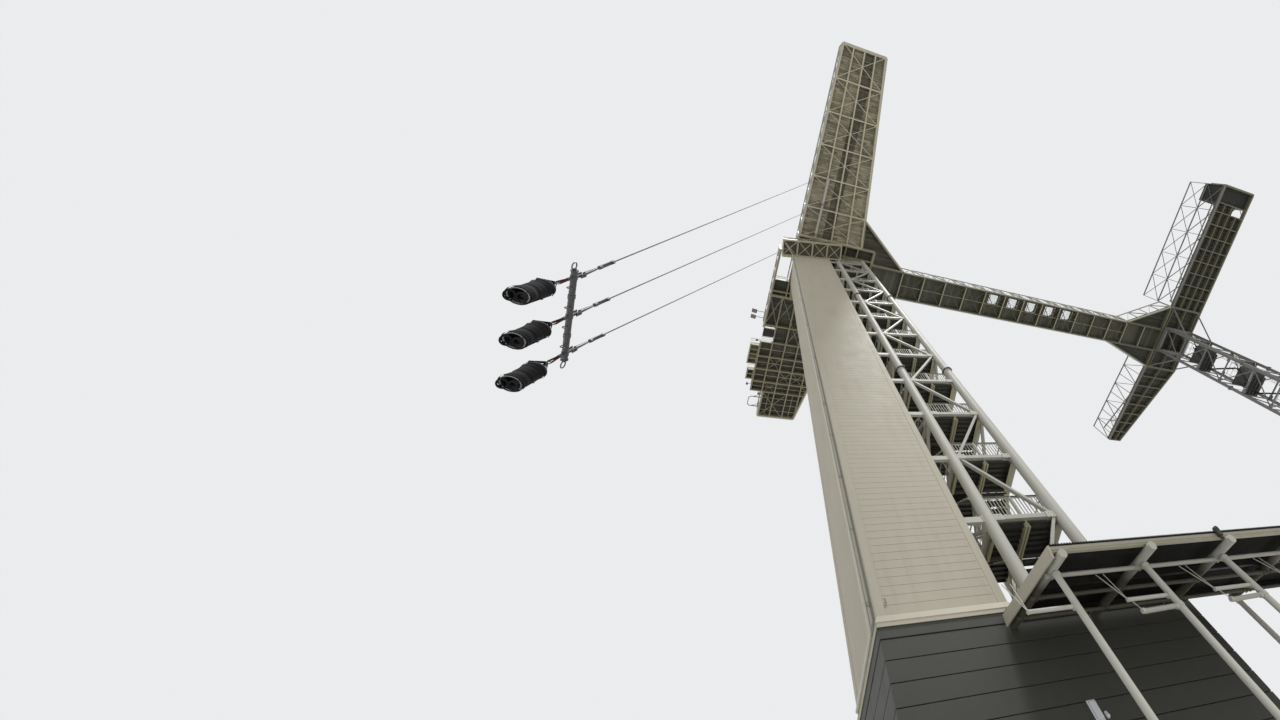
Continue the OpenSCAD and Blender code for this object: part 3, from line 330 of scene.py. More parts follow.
# Woven webbing: threads that cross at a slant, a soft sheen and a slightly faded tone
def webbingFinish(name, colour):
    made = Finish(name, 0.2)
    made.shader.inputs["Sheen Weight"].default_value = 0.06
    made.shader.inputs["Sheen Roughness"].default_value = 0.5
    threads = []
    for turn in (40, -50):
        wave = made.node("ShaderNodeTexWave", wave_type="BANDS", bands_direction="Z", wave_profile="SIN")
        wave.inputs["Scale"].default_value = 0.314 / 0.0032  # threads 3.2 mm apart
        made.feed(made.mapped(turn=(turn, turn, 0)), wave.inputs["Vector"])
        threads.append(wave.outputs["Fac"])
    weave = made.calc("MULTIPLY", *threads)
    tone = made.blendColour(made.span(weave, 0.35, 0.0), made.cloudy(colour, 0.75, 1.4, 0.06), shade(colour, 0.45))
    made.feed(tone, made.shader.inputs["Base Color"])
    made.skin(weave, 0.95, 0.75, weave, 0.5, 0.0008)
    return made.material


def glassFinish():
    made = Finish("floorGlass")
    for name, value in (("Base Color", (0.93, 0.95, 0.95, 1)), ("Transmission Weight", 0.85), ("IOR", 1.45)):
        made.shader.inputs[name].default_value = value
    made.feed(made.span(made.noise(0.2, 3), 0.04, 0.16), made.shader.inputs["Roughness"])
    return made.material


# The near black under the canopy: the sheet's own dark colour deepened with painted shade, also used as painted shade
# on the battens
tubeWhite, underCanopyShadeBlack = (0.57, 0.56, 0.50), (0.011, 0.011, 0.008)
finishes = {
    "slab_concrete": paintFinish("slabConcrete", (0.36, 0.35, 0.32), 0.85, 0.2, 0.25),
    "grey_boards": paintFinish("greyBoards", (0.050, 0.050, 0.042), 0.55, 0.12, 0.06),
    "cream_cladding": claddingFinish((0.56, 0.525, 0.425), (0.30, 0.27, 0.20), (0.13, 0.10, 0.07),
                                     (-1.945, -1.90), (4.35, 4.48)),
    "white_tube": paintFinish("whiteTube", tubeWhite, 0.5, 0.06, 0.18, gloss=0.3),
    "beige_steel": paintFinish("beigeSteel", (0.42, 0.39, 0.285), 0.5, 0.15, 0.25),
    "grey_steel": paintFinish("greySteel", (0.46, 0.45, 0.39), 0.45, 0.12, 0.22),
    "deck_plate": paintFinish("deckPlate", (0.095, 0.09, 0.06), 0.6, 0.3, 0.2),
    "dark_sheet": paintFinish("darkSheet", (0.028, 0.029, 0.024), 0.5, 0.2, 0.15),
    "stair_steel": paintFinish("stairSteel", (0.30, 0.29, 0.25), 0.5, 0.2, 0.15),
    "pipe_grey": paintFinish("pipeGrey", (0.66, 0.645, 0.56), 0.4, 0.08, 0.15),
    "lamp_white": paintFinish("lampWhite", (0.75, 0.76, 0.80), 0.4, 0.04, 0.04),
    "floor_glass": glassFinish(),
    "cable_steel": paintFinish("cableSteel", (0.13, 0.13, 0.135), 0.6, 0.1, 0.1, metal=0.2, gloss=0.15),
    "bar_steel": paintFinish("barSteel", (0.15, 0.15, 0.155), 0.4, 0.2, 0.2, metal=0.7),
    "harness_webbing": webbingFinish("harnessWebbing", (0.012, 0.012, 0.013)),
}
# Finishes of single nodes and pieces, within the slots
darkTread = paintFinish("darkTread", (0.080, 0.079, 0.060), 0.55, 0.35, 0.25)
slotShadow = paintFinish("slotShadow", (0.022, 0.022, 0.018), 0.7, 0.2, 0.1)
bridgeOlive = paintFinish("bridgeOlive", (0.33, 0.305, 0.20), 0.5, 0.2, 0.25)
jettyBeam = paintFinish("jettyBeam", (0.52, 0.485, 0.36), 0.5, 0.12, 0.2)
shadedSteel = paintFinish("shadedSteel", (0.20, 0.195, 0.19), 0.5, 0.15, 0.2)
platformTan = paintFinish("platformTan", (0.20, 0.175, 0.10), 0.6, 0.3, 0.3)
winchBlack = paintFinish("winchBlack", (0.016, 0.018, 0.013), 0.7, 0.2, 0.15)
oliveBeam = paintFinish("oliveBeam", (0.15, 0.14, 0.09), 0.55, 0.25, 0.25)
rearBeam = paintFinish("rearBeam", (0.26, 0.235, 0.15), 0.55, 0.2, 0.3)
stringerOlive = paintFinish("stringerOlive", (0.46, 0.43, 0.28), 0.5, 0.15, 0.2)
balconyPlate = paintFinish("balconyPlate", (0.10, 0.095, 0.06), 0.6, 0.3, 0.2)
# Grey for the painted shade strips on the shaft, and for the flood lenses
shadeStripAndLensGrey = paintFinish("shadeStripAndLensGrey", (0.19, 0.185, 0.145), 0.5, 0.1, 0.2)
# Canopy sheets: their own dark colour, deepened to near black as painted shade
canopySheetDarkAndShade = paintFinish("canopySheetDarkAndShade", underCanopyShadeBlack, 0.75, 0.2, 0.1)
# Fascia: the battens inside the rim carry painted shade
canopyFascia = fasciaShadeFinish((0.52, 0.49, 0.40), underCanopyShadeBlack, (-0.55, 3.93), (-2.0, 2.0))
# Canopy tubes: the darker colour towards the wall is painted shade
canopyTubeShaded = canopyTubeShadeFinish(tubeWhite, (0.085, 0.080, 0.058), -2.0, -1.62)
strapRed = webbingFinish("strapRed", (0.10, 0.016, 0.014))
pipingGrey = webbingFinish("pipingGrey", (0.34, 0.34, 0.33))
armBoards = rowFinish("armBoards", (0.042, 0.041, 0.027), "Y", 0.112, 0.4)
jettyBoards = rowFinish("jettyBoards", (0.33, 0.30, 0.21), "Y", 0.112, 0.42, 0.47, (-0.95, -0.45))
bridgeBoards = rowFinish("bridgeBoards", (0.075, 0.074, 0.05), "X", 0.20, 0.35)
rearBoards = rowFinish("rearBoards", (0.060, 0.056, 0.036), "Y", 0.112, 0.6, 0.6)

nodePaints = (
    (darkTread, "stair_treads stair_landings"),
    (jettyBoards, "front_jetty_plates"),
    (bridgeBoards, "bridge_plates"),
    (rearBoards, "rear_jetty_plates head_plates"),
    (finishes["grey_boards"], "base_roof"),
    (oliveBeam, "near_arm_beams far_arm_beams hub_beams"),
    (canopyFascia, "canopy_fascia"),
    (canopyTubeShaded, "canopy_frame"),
    (rearBeam, "rear_jetty_beams head_beams head_grillage"),
    (stringerOlive, "stair_stringers"),
    (balconyPlate, "bridge_beams"),
    (jettyBeam, "front_jetty_beams"),
    (shadedSteel, "near_arm_frames far_arm_frames mast_legs mast_lattices mast_head"),
    (platformTan, "jump_platforms"),
    (armBoards, "near_arm_plates far_arm_plates hub_plates"),
    (winchBlack, "winch_house"),
)
for part in frame["record"]["subparts"]:
    frame["nodes"][part["node"]].material_slots[0].material = finishes[part["material_slot"]]
for paint, nodeNames in nodePaints:
    for nodeName in nodeNames.split():
        frame["nodes"][nodeName].material_slots[0].material = paint
print("finishes made:", len(finishes))


# Helpers for the fine pieces
towerTurn = -math.radians(towerDegrees)


def spanOf(node, turn=0.0):
    # Lowest and highest corner of a node, in a frame turned with the building where turn is given
    back = Matrix.Rotation(-turn, 3, "Z")
    spots = [back @ vertex.co for vertex in frame["nodes"][node].data.vertices]
    return tuple(Vector([pick(spot[axis] for spot in spots) for axis in range(3)]) for pick in (min, max))


def addBlock(bm, low, high):
    low, high = Vector(low), Vector(high)
    place = Matrix.Translation((low + high) / 2) @ Matrix.Diagonal((*(high - low), 1))
    return bmesh.ops.create_cube(bm, size=1, matrix=place)["verts"]


def addPlate(bm, x, y, half, z0, z1):
    # Level square plate
    addBlock(bm, (x - half, y - half, z0), (x + half, y + half, z1))


def addRound(bm, low, high, out, z0, z1, overX, overY=0.0):
    # Four blocks round a rectangle in plan: those in front and behind run past its corners by overX
    for v0, v1 in ((low.y - out, low.y), (high.y, high.y + out)):
        addBlock(bm, (low.x - overX, v0, z0), (high.x + overX, v1, z1))
    for u0, u1 in ((low.x - out, low.x), (high.x, high.x + out)):
        addBlock(bm, (u0, low.y - overY, z0), (u1, high.y + overY, z1))


def addBar(bm, start, end, width, depth, up=(0, 0, 1)):
    # Square-cut bar: width goes across, depth along the up direction
    start, end = Vector(start), Vector(end)
    ahead = end - start
    side = ahead.cross(Vector(up)).normalized()
    top = side.cross(ahead).normalized()
    turn = Matrix((ahead.normalized(), -side, top)).transposed().to_4x4()
    place = Matrix.Translation((start + end) / 2) @ turn @ Matrix.Diagonal((ahead.length, width, depth, 1))
    return bmesh.ops.create_cube(bm, size=1, matrix=place)["verts"]


def smoothFaces(verts, corners=4):
    # Smooth shading on faces with so many corners, with crisp rims round the rest
    for face in {face for vertex in verts for face in vertex.link_faces}:
        if len(face.verts) == corners:
            face.smooth = True
        else:
            for edge in face.edges:
                edge.smooth = False


def addRod(bm, start, end, radius, sides=10, endRadius=None):
    start, end = Vector(start), Vector(end)
    ahead = end - start
    place = Matrix.Translation((start + end) / 2) @ ahead.to_track_quat("Z", "Y").to_matrix().to_4x4()
    smoothFaces(bmesh.ops.create_cone(bm, cap_ends=True, segments=sides, radius1=radius,
                                      radius2=radius if endRadius is None else endRadius,
                                      depth=ahead.length, matrix=place)["verts"])


def addPost(bm, x, y, z0, z1, radius, sides=8, topRadius=None):
    # Upright rod
    addRod(bm, (x, y, z0), (x, y, z1), radius, sides, topRadius)


def addBolts(bm, x, y, reach, z0, z1, radius):
    # Four bolts at the corners of a plate
    for dx in (-reach, reach):
        for dy in (-reach, reach):
            addPost(bm, x + dx, y + dy, z0, z1, radius, 6)


def addRails(bm, start, end, rails):
    # Parallel rails over a line, each at its own height and with its own radius
    for lift, radius in rails:
        addRod(bm, (*start[:2], start[2] + lift), (*end[:2], end[2] + lift), radius, 8)


def addRodPath(bm, spots, radius, sides):
    # Rods end to end, with a ball at each turn
    for start, end in zip(spots, spots[1:]):
        addRod(bm, start, end, radius, sides)
    for spot in spots[1:-1]:
        smoothFaces(bmesh.ops.create_icosphere(bm, subdivisions=1, radius=radius * 1.02,
                                               matrix=Matrix.Translation(spot))["verts"], 3)


def edgesOf(verts):
    # Each edge once, in an order that is the same on every run
    return list(dict.fromkeys(edge for vertex in verts for edge in vertex.link_edges))


def addRing(bm, middle, axis, ringRadius, wireRadius, sides, wireSides):
    # A bent wire: circles of corners all round the axis through the middle, with faces between them
    middle, axis = Vector(middle), Vector(axis).normalized()
    across = axis.orthogonal().normalized()
    place = Matrix.Translation(across * ringRadius) @ axis.cross(across).to_track_quat("Z", "Y").to_matrix().to_4x4()
    angles = [2 * math.pi * i / wireSides for i in range(wireSides)]
    circle = [place @ Vector((wireRadius * math.sin(angle), wireRadius * math.cos(angle), 0)) for angle in angles]
    turns = [Matrix.Rotation(2 * math.pi * i / sides, 3, axis) for i in range(sides)]
    rings = [[bm.verts.new(middle + turn @ spot) for spot in circle] for turn in turns]
    for ring, following in zip(rings, rings[1:] + rings[:1]):
        for i in range(wireSides):
            bm.faces.new((ring[i - 1], ring[i], following[i], following[i - 1]))


def addCopy(bm, part):
    # Adds a finished part to a larger bmesh
    holder = bpy.data.meshes.new("part")
    part.to_mesh(holder)
    part.free()
    bm.from_mesh(holder)
    bpy.data.meshes.remove(holder)


def clipTo(bm, outline):
    # Cuts everything in the bmesh to a convex outline in plan, and closes the cuts
    middle = sum((Vector((*spot, 0)) for spot in outline), Vector()) / len(outline)
    for start, end in zip(outline, outline[1:] + outline[:1]):
        start, end = Vector((*start, 0)), Vector((*end, 0))
        outwards = (end - start).cross(Vector((0, 0, 1)))
        if outwards.dot(middle - start) > 0:
            outwards = -outwards
        cut = bmesh.ops.bisect_plane(bm, geom=bm.verts[:] + bm.edges[:] + bm.faces[:], plane_co=start,
                                     plane_no=outwards, clear_outer=True)["geom_cut"]
        rims = [item for item in cut if isinstance(item, bmesh.types.BMEdge) and item.is_boundary]
        bmesh.ops.holes_fill(bm, edges=rims, sides=0)


def makePiece(name, bm, slotName, body="tower", finish=None, turned=False, edge=0.0, place=None, closed=True):
    # Turns a bmesh into a named piece: turned with the building or set in place, its edges softened where edge is given
    if closed:
        bmesh.ops.recalc_face_normals(bm, faces=bm.faces)
    if turned:
        bmesh.ops.rotate(bm, cent=(0, 0, 0), matrix=Matrix.Rotation(towerTurn, 3, "Z"), verts=bm.verts)
    if place:
        bmesh.ops.transform(bm, matrix=place, verts=bm.verts)
    mesh = bpy.data.meshes.new(name)
    bm.to_mesh(mesh)
    bm.free()
    mesh.materials.append(finish or finishes[slotName])
    piece = addToScene(name, mesh)
    if edge:
        rounding = piece.modifiers.new("softEdge", "BEVEL")
        rounding.width = edge
        rounding.segments = 1
        rounding.limit_method = "ANGLE"
    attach(piece, body)
    return piece


def steps(low, high, pitch):
    # Evenly spread places from low to high, about a pitch apart
    count = max(1, round((high - low) / pitch))
    return [low + (high - low) * i / count for i in range(count + 1)]


def cells(low, high, pitch):
    # The stretches between these places, as pairs
    places = steps(low, high, pitch)
    return list(zip(places, places[1:]))


# Base building: dark boards with open joints, roof capping, door surround
boardLook = {"pitch": 0.2225, "gap": 0.009, "stand": 0.029, "joints": 18, "topJoint": 3.975, "buttJoint": 1.62,
             "cappingHeight": 0.07, "cappingOut": 0.03, "sheetLength": 1.0, "surround": 0.06}

baseLow, baseHigh = spanOf("floor_slab", towerTurn)
baseHigh.z = spanOf("base_roof", towerTurn)[1].z
doorLow, doorHigh = spanOf("door_head", towerTurn)


def makeBase(look):
    stand, gap, surround, outer = look["stand"], look["gap"] / 2, look["surround"], look["cappingOut"] + 0.005
    bottom, top = 0.02, baseHigh.z - look["cappingHeight"]
    joints = [look["topJoint"] - i * look["pitch"] for i in reversed(range(look["joints"]))]
    left, right = baseLow.x - stand, baseHigh.x + stand
    butt = baseLow.y + look["buttJoint"] / 2
    bm = bmesh.new()
    for low, high in zip([bottom] + joints, joints):
        z0, z1 = low + gap, high - gap
        stretches = [(left, right)]
        if z0 < doorLow.z:
            stretches = [(left, doorLow.x - surround), (doorHigh.x + surround, right)]
        for u0, u1 in stretches:
            addBlock(bm, (u0, baseLow.y - stand, z0), (u1, baseLow.y, z1))
        addBlock(bm, (left, baseHigh.y, z0), (right, baseHigh.y + stand, z1))
        for u0, u1 in ((left, baseLow.x), (baseHigh.x, right)):
            for v0, v1 in ((baseLow.y, butt - 0.003), (butt + 0.003, baseHigh.y)):
                addBlock(bm, (u0, v0, z0), (u1, v1, z1))
    addRound(bm, baseLow, baseHigh, outer, joints[-1] + gap, top - 0.007, outer)
    makePiece("baseBoards", bm, "grey_boards", turned=True, edge=0.002)

    bm = bmesh.new()
    inner = look["cappingOut"] - 0.004
    low, high = top - 0.006, baseHigh.z + 0.006
    for u0, u1 in cells(baseLow.x - outer, baseHigh.x + outer, look["sheetLength"]):
        for v0, v1 in ((baseLow.y - outer, baseLow.y - inner), (baseHigh.y + inner, baseHigh.y + outer)):
            addBlock(bm, (u0 + 0.002, v0, low), (u1 - 0.002, v1, high))
    for v0, v1 in cells(baseLow.y - inner, baseHigh.y + inner, 0.82 * look["sheetLength"]):
        for u0, u1 in ((baseLow.x - outer, baseLow.x - inner), (baseHigh.x + inner, baseHigh.x + outer)):
            addBlock(bm, (u0, v0 + 0.002, low), (u1, v1 - 0.002, high))
    makePiece("baseCapping", bm, "dark_sheet", finish=finishes["grey_boards"], turned=True)

    bm = bmesh.new()
    lap, face, inner = 0.012, baseLow.y - stand * 1.4, baseLow.y + 0.1
    for u0, u1, z0 in ((doorLow.x - surround, doorLow.x + lap, 0.1), (doorHigh.x - lap, doorHigh.x + surround, 0.1),
                       (doorLow.x + lap, doorHigh.x - lap, doorLow.z - lap)):
        addBlock(bm, (u0, face, z0), (u1, inner, doorLow.z + surround))
    addBlock(bm, (doorLow.x, face - 0.05, 0.085), (doorHigh.x, inner, 0.108))
    makePiece("doorSurround", bm, "grey_steel", turned=True, edge=0.003)


makeBase(boardLook)

# Lamp on the base wall, with a small spot beside it
lampLook = {"edge": 0.008, "spotRadius": 0.020, "spotLength": 0.045}


def makeWallLamp(look):
    low, high = spanOf("wall_lamp", towerTurn)
    bm = bmesh.new()
    addBlock(bm, (low.x, low.y + 0.02, low.z), (high.x, high.y, high.z))
    addBlock(bm, (low.x + 0.012, low.y, low.z + 0.02), (high.x - 0.012, low.y + 0.02, high.z - 0.02))
    arm = Vector((high.x + 0.045, high.y, low.z + 0.07))
    addBlock(bm, (arm.x - 0.05, arm.y - 0.014, arm.z - 0.012), (arm.x + 0.012, arm.y, arm.z + 0.012))
    spot = arm - Vector((0, 0.03, 0))
    addRod(bm, spot + Vector((0, 0.01, 0.012)), spot - Vector((0, 0.012, look["spotLength"])), look["spotRadius"], 14)
    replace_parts(makePiece("wallLamp", bm, "lamp_white", turned=True, edge=look["edge"]), "wall_lamp")


makeWallLamp(lampLook)
print("base building dressed")

# Canopy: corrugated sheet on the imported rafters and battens, with flashing, clips, lamp arms and tube lamps
canopyLook = {"wave": 0.034, "waveDepth": 0.016, "sheet": 0.003, "dripHeight": 0.024, "armZ": 3.20, "armOut": 0.52,
              "armTube": 0.019, "lampZ": 3.08, "lampReach": 0.45, "lampTube": 0.022, "footHalf": 0.075,
              "boxHalf": 0.028, "boxDepth": (-0.052, -0.006)}

canopyEaveZ, canopyWallZ, canopyV0 = 3.525, 3.90, -2.175
canopyLow, canopyHigh = spanOf("canopy_roof", towerTurn)
rafterCount, rafterPitch, rafterSize, battenHeight = 5, 1.1, 0.09, 0.06
sheetZ = rafterSize + battenHeight + 0.0005
postV = canopyV0 + 0.2
canopySlope = math.atan2(canopyWallZ - canopyEaveZ, baseLow.y - canopyV0)
rafterPlaces = [spanOf("canopy_posts", towerTurn)[0].x + 0.035 + rafterPitch * i for i in range(rafterCount)]
slopeLength = (baseLow.y - canopyV0) / math.cos(canopySlope)
onSlope = (Matrix.Rotation(towerTurn, 4, "Z") @ Matrix.Translation((0, canopyV0, canopyEaveZ))
           @ Matrix.Rotation(canopySlope, 4, "X"))


def makeCanopy(look):
    u0, u1 = canopyLow.x, canopyHigh.x
    sheetY, length = -0.0225, slopeLength - 0.04
    waves = round((u1 - u0) / look["wave"])
    bm = bmesh.new()
    bmesh.ops.create_grid(bm, x_segments=waves * 6, y_segments=1, size=0.5)
    for vertex in bm.verts:
        along = vertex.co.x + 0.5
        vertex.co.z = sheetZ + look["waveDepth"] * (1 - math.cos(2 * math.pi * waves * along)) / 2
        vertex.co.x = u0 + (u1 - u0) * along
        vertex.co.y = sheetY + length * (vertex.co.y + 0.5)
    for face in bm.faces:
        face.smooth = True
    sheet = makePiece("canopySheets", bm, "dark_sheet", finish=canopySheetDarkAndShade, place=onSlope, closed=False)
    skin = sheet.modifiers.new("sheetSkin", "SOLIDIFY")
    skin.thickness = look["sheet"]
    skin.offset = 1
    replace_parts(sheet, "canopy_roof")

    # Olive drip strip along the eave board's lower half, screws in the sheet, flashing at the wall
    bm = bmesh.new()
    drip = rafterSize + look["dripHeight"]
    addBlock(bm, (u0, -0.004, rafterSize + 0.0005), (u1, 0.0, drip))
    addBlock(bm, (u0, -0.010, drip - 0.004), (u1, 0.0, drip))
    makePiece("eaveDrip", bm, "beige_steel", place=onSlope)
    bm = bmesh.new()
    crest = sheetZ + look["waveDepth"] + look["sheet"]
    for y in (0.022, 0.70, 1.34):
        for u in steps(u0 + 2.5 * look["wave"], u1 - 2.5 * look["wave"], look["wave"] * 4):
            addPost(bm, u, y, crest - 0.001, crest + 0.004, 0.007, 6)
    end = sheetY + length
    addBlock(bm, (u0, end - 0.10, crest), (baseHigh.x + 0.02, end + 0.022, crest + 0.003))
    makePiece("roofScrews", bm, "dark_sheet", place=onSlope)

    # Saddle clips where purlins cross rafters
    bm = bmesh.new()
    for y in (0.29, 0.72, 1.15):
        for u in rafterPlaces:
            for side in (-1, 1):
                addRod(bm, (u + side * 0.052, y, 0.008), (u + side * 0.068, y, 0.008), 0.028, 14)
            addBlock(bm, (u - 0.012, y - 0.03, -0.018), (u + 0.012, y + 0.03, -0.010))
    makePiece("purlinClips", bm, "white_tube", finish=canopyTubeShaded, place=onSlope)


def makeCanopyLamps(look):
    # A lamp arm from each post, a stay in a V at its tip, and a tube lamp that hangs from the tip by a wire
    arms, lamps, wires = bmesh.new(), bmesh.new(), bmesh.new()
    z, tube, lampZ, lampTube = look["armZ"], look["armTube"], look["lampZ"], look["lampTube"]
    under = canopyEaveZ + 0.2 * math.tan(canopySlope)
    for u in rafterPlaces:
        tip = u - look["armOut"]
        addRod(arms, (u - 0.03, postV, z), (tip, postV, z), tube, 12)
        addRod(arms, (u - 0.045, postV, z), (u - 0.03, postV, z), tube * 1.8, 14)
        addRod(arms, (tip, postV, z), (tip - 0.012, postV, z), tube * 1.15, 12)
        for side in (-0.06, 0.03):
            addRod(wires, (tip, postV, z), (tip + side, postV + 0.09, under), 0.005, 6)
        if u == rafterPlaces[0]:
            continue
        addPost(arms, u, postV, lampZ - 0.016, lampZ + 0.016, 0.042, 16)
        lampEnd = u - look["lampReach"]
        addRod(lamps, (u - 0.05, postV, lampZ), (lampEnd, postV, lampZ - 0.012), lampTube, 14)
        for end in (u - 0.05, lampEnd):
            addRod(arms, (end - 0.014, postV, lampZ - 0.006), (end + 0.014, postV, lampZ - 0.006), lampTube * 1.12, 14)
        addRod(wires, (tip + 0.02, postV, z), (lampEnd, postV, lampZ + 0.01), 0.004, 6)
    makePiece("lampArms", arms, "white_tube", turned=True)
    makePiece("canopyTubeLamps", lamps, "grey_steel", turned=True)
    makePiece("tubeLampWires", wires, "white_tube", turned=True)


def makePostFeet(look):
    # Foot and head plates of the posts; those of the inner row stand only beside the building
    bm = bmesh.new()
    for u in rafterPlaces:
        for v in (postV, canopyV0 + 1.315):
            if v > -1.5 and u < baseHigh.x:
                continue
            addPlate(bm, u, v, look["footHalf"], 0.0, 0.014)
            addPost(bm, u, v, 0.014, 0.05, 0.045, 16, 0.037)
            top = canopyEaveZ + (v - canopyV0 - 0.035) * math.tan(canopySlope)
            addPost(bm, u, v, top - 0.03, top - 0.008, 0.045, 16)
            addBolts(bm, u, v, look["footHalf"] - 0.020, 0.014, 0.026, 0.009)
    makePiece("postFeet", bm, "white_tube", turned=True)


def makeEaveBox(look):
    # A small round-topped box that stands on the eave beside the middle rafter
    bm = bmesh.new()
    u, low, top = rafterPlaces[rafterCount // 2] - 0.085, rafterSize + 0.01, sheetZ + 0.03
    half, (front, back) = look["boxHalf"], look["boxDepth"]
    addBlock(bm, (u - half, front, low), (u + half, back, top))
    addRod(bm, (u, front, top), (u, back, top), half, 20)
    addBlock(bm, (u - 0.016, front + 0.010, low - 0.03), (u + 0.016, back - 0.009, low))
    makePiece("eaveBox", bm, "pipe_grey", finish=finishes["grey_boards"], place=onSlope, edge=0.003)


makeCanopy(canopyLook)
makeCanopyLamps(canopyLook)
makePostFeet(canopyLook)
makeEaveBox(canopyLook)
print("canopy dressed")

# Shaft: ribbed cladding in four walls, arris trims, flashings, pipe collars and foot
shaftLook = {"rib": 0.125, "gap": 0.003, "stand": 0.005, "arris": 0.11, "arrisStand": 0.010, "foot": 0.11,
             "footOut": 0.040, "footDrop": 0.045, "head": 0.07, "headOut": 0.018, "collarStep": 1.175}

shaftLow = Vector((-2.05, -0.80, baseHigh.z))
shaftHigh = Vector((-0.425, 0.75, spanOf("shaft_front", towerTurn)[1].z))


def makeShaft(look):
    low, high = shaftLow, shaftHigh
    stand, arris = look["stand"], look["arris"]
    bm = bmesh.new()
    for z0, z1 in cells(low.z + look["foot"], high.z - look["head"], look["rib"]):
        addRound(bm, low, high, stand, z0 + look["gap"] / 2, z1 - look["gap"] / 2, -arris, -arris)
    makePiece("shaftRibs", bm, "cream_cladding", turned=True, edge=0.0018)

    bm = bmesh.new()
    out = look["arrisStand"]
    for u, sign in ((low.x, 1), (high.x, -1)):
        for v, side in ((low.y, 1), (high.y, -1)):
            for us, vs in (((u - sign * out, u + sign * arris), (v - side * out, v)),
                           ((u - sign * out, u), (v, v + side * arris))):
                addBlock(bm, (min(us), min(vs), low.z), (max(us), max(vs), high.z))
    addRound(bm, low, high, look["headOut"], high.z - look["head"], high.z, look["headOut"])
    makePiece("shaftTrims", bm, "cream_cladding", turned=True, edge=0.003)

    # Foot flashing: a block whose lower rim is drawn out into a skirt over the base's edge
    bm = bmesh.new()
    lap, out, drop = Vector((0.012, 0.012, 0)), look["footOut"], look["footDrop"]
    verts = addBlock(bm, low - lap + Vector((0, 0, 0.007)), (*(high + lap).xy, low.z + look["foot"]))
    rim = [vertex for vertex in verts if vertex.co.z < low.z + 0.03]
    size = high - low
    bmesh.ops.scale(bm, vec=((size.x + 2 * out) / size.x, (size.y + 2 * out) / size.y, 1),
                    space=Matrix.Translation(-(low + high) / 2), verts=rim)
    corner = (low.x - out - 0.006, low.y - out - 0.006, low.z - drop)
    addBlock(bm, corner, (high.x + 0.012, low.y - out + 0.002, low.z + 0.012))
    addBlock(bm, corner, (low.x - out + 0.002, high.y + 0.012, low.z + 0.012))
    makePiece("shaftFoot", bm, "cream_cladding", turned=True, edge=0.003)

    # Dark strips laid on the wall beside the downpipe and along the side wall's foot: painted shade of a recess
    bm = bmesh.new()
    for end, z0, z1 in ((low.y + 0.152, low.z + 0.20, high.z - 0.1), (high.y - arris, low.z + 0.13, low.z + 0.20)):
        addBlock(bm, (low.x - 0.0115, low.y + 0.050, z0), (low.x - 0.001, end, z1))
    makePiece("shaftShadeStrips", bm, "cream_cladding", finish=shadeStripAndLensGrey, turned=True)

    pipeLow, pipeHigh = spanOf("shaft_downpipe", towerTurn)
    u, v, foot = pipeLow.x + 0.022, low.y + 0.17, pipeLow.z
    bm = bmesh.new()
    for z in steps(foot + 0.3, pipeHigh.z - 0.3, look["collarStep"]):
        addPost(bm, u, v, z, z + 0.035, 0.027, 16)
        addBlock(bm, (u - 0.03, v - 0.006, z + 0.008), (u + 0.05, v + 0.006, z + 0.026))
    addRodPath(bm, [(u, v, foot + 0.03), (u, v, foot - 0.03), (u, v + 0.06, foot - 0.07),
                    (u, high.y - 0.2, foot - 0.085)], 0.022, 14)
    addPost(bm, u, v, pipeHigh.z - 0.01, pipeHigh.z + 0.05, 0.03, 16, 0.045)
    makePiece("pipeFittings", bm, "pipe_grey", turned=True)


makeShaft(shaftLook)
print("shaft dressed")

# Stair tower: column flanges, gusset plates, landing joists, flight handrails, nosings, rails and boards
stairLook = {"flangeLevels": (4.42, 8.53), "rearFlangeLevels": (4.38, 8.53), "flangeRadius": 0.135, "bolts": 10,
             "boltCircle": 0.12, "footHalf": 0.15, "footThick": 0.024, "ribDepth": 0.07,
             "gusset": 0.15, "gussetThick": 0.012, "stringerDrop": 0.11, "topRail": 0.016,
             "flightRails": ((0.462, 0.016), (0.231, 0.008)), "rearRails": ((0.52, 0.014), (0.27, 0.009)),
             "sideRails": ((0.52, 0.012), (0.27, 0.008))}

storeyHeight, storeys, risers = 1.53, 12, 9
columnU, columnV, columnRadius = (0.04, 1.30), (-0.69, 1.45), 0.1
landingHalf = 0.03
flightV = (-0.025, 0.85)
laneEdges = ((0.09, 0.66), (0.68, 1.25))
stringerThick = 0.026


def makeColumnFittings(look, z0):
    # Bolts and seams of the column flanges, foot plates and their ribs
    bm, seams = bmesh.new(), bmesh.new()
    radius, circle = look["flangeRadius"], look["boltCircle"]
    for u in columnU:
        for v in columnV:
            footZ = z0 if v < 0 else 0.0
            plateZ = footZ + look["footThick"]
            for level in look["flangeLevels" if v < 0 else "rearFlangeLevels"]:
                z = z0 + level * storeyHeight
                addPost(seams, u, v, z - 0.0015, z + 0.0015, radius + 0.0006, 32)
                addPost(seams, u, v, z - 0.023, z - 0.0185, radius + 0.001, 32)
                for i in range(look["bolts"]):
                    angle = 2 * math.pi * (i + 0.5) / look["bolts"]
                    spot = Vector((u + circle * math.cos(angle), v + circle * math.sin(angle)))
                    addPost(bm, *spot, z - 0.034, z + 0.034, 0.008, 6)
            addPlate(bm, u, v, look["footHalf"], footZ, plateZ)
            rib = Vector((u, v, plateZ + look["ribDepth"] / 2 - 0.001))
            for i in range(4):
                angle = math.pi / 4 + math.pi / 2 * i
                side = Vector((math.cos(angle), math.sin(angle), 0))
                addBar(bm, rib + side * 0.09, rib + side * 0.15, 0.012, look["ribDepth"])
                addPost(bm, *(rib + side * 0.17).xy, plateZ, plateZ + 0.02, 0.011, 6)
    makePiece("columnFittings", bm, "white_tube", turned=True)
    makePiece("flangeSeams", seams, "stair_steel", finish=slotShadow, turned=True)


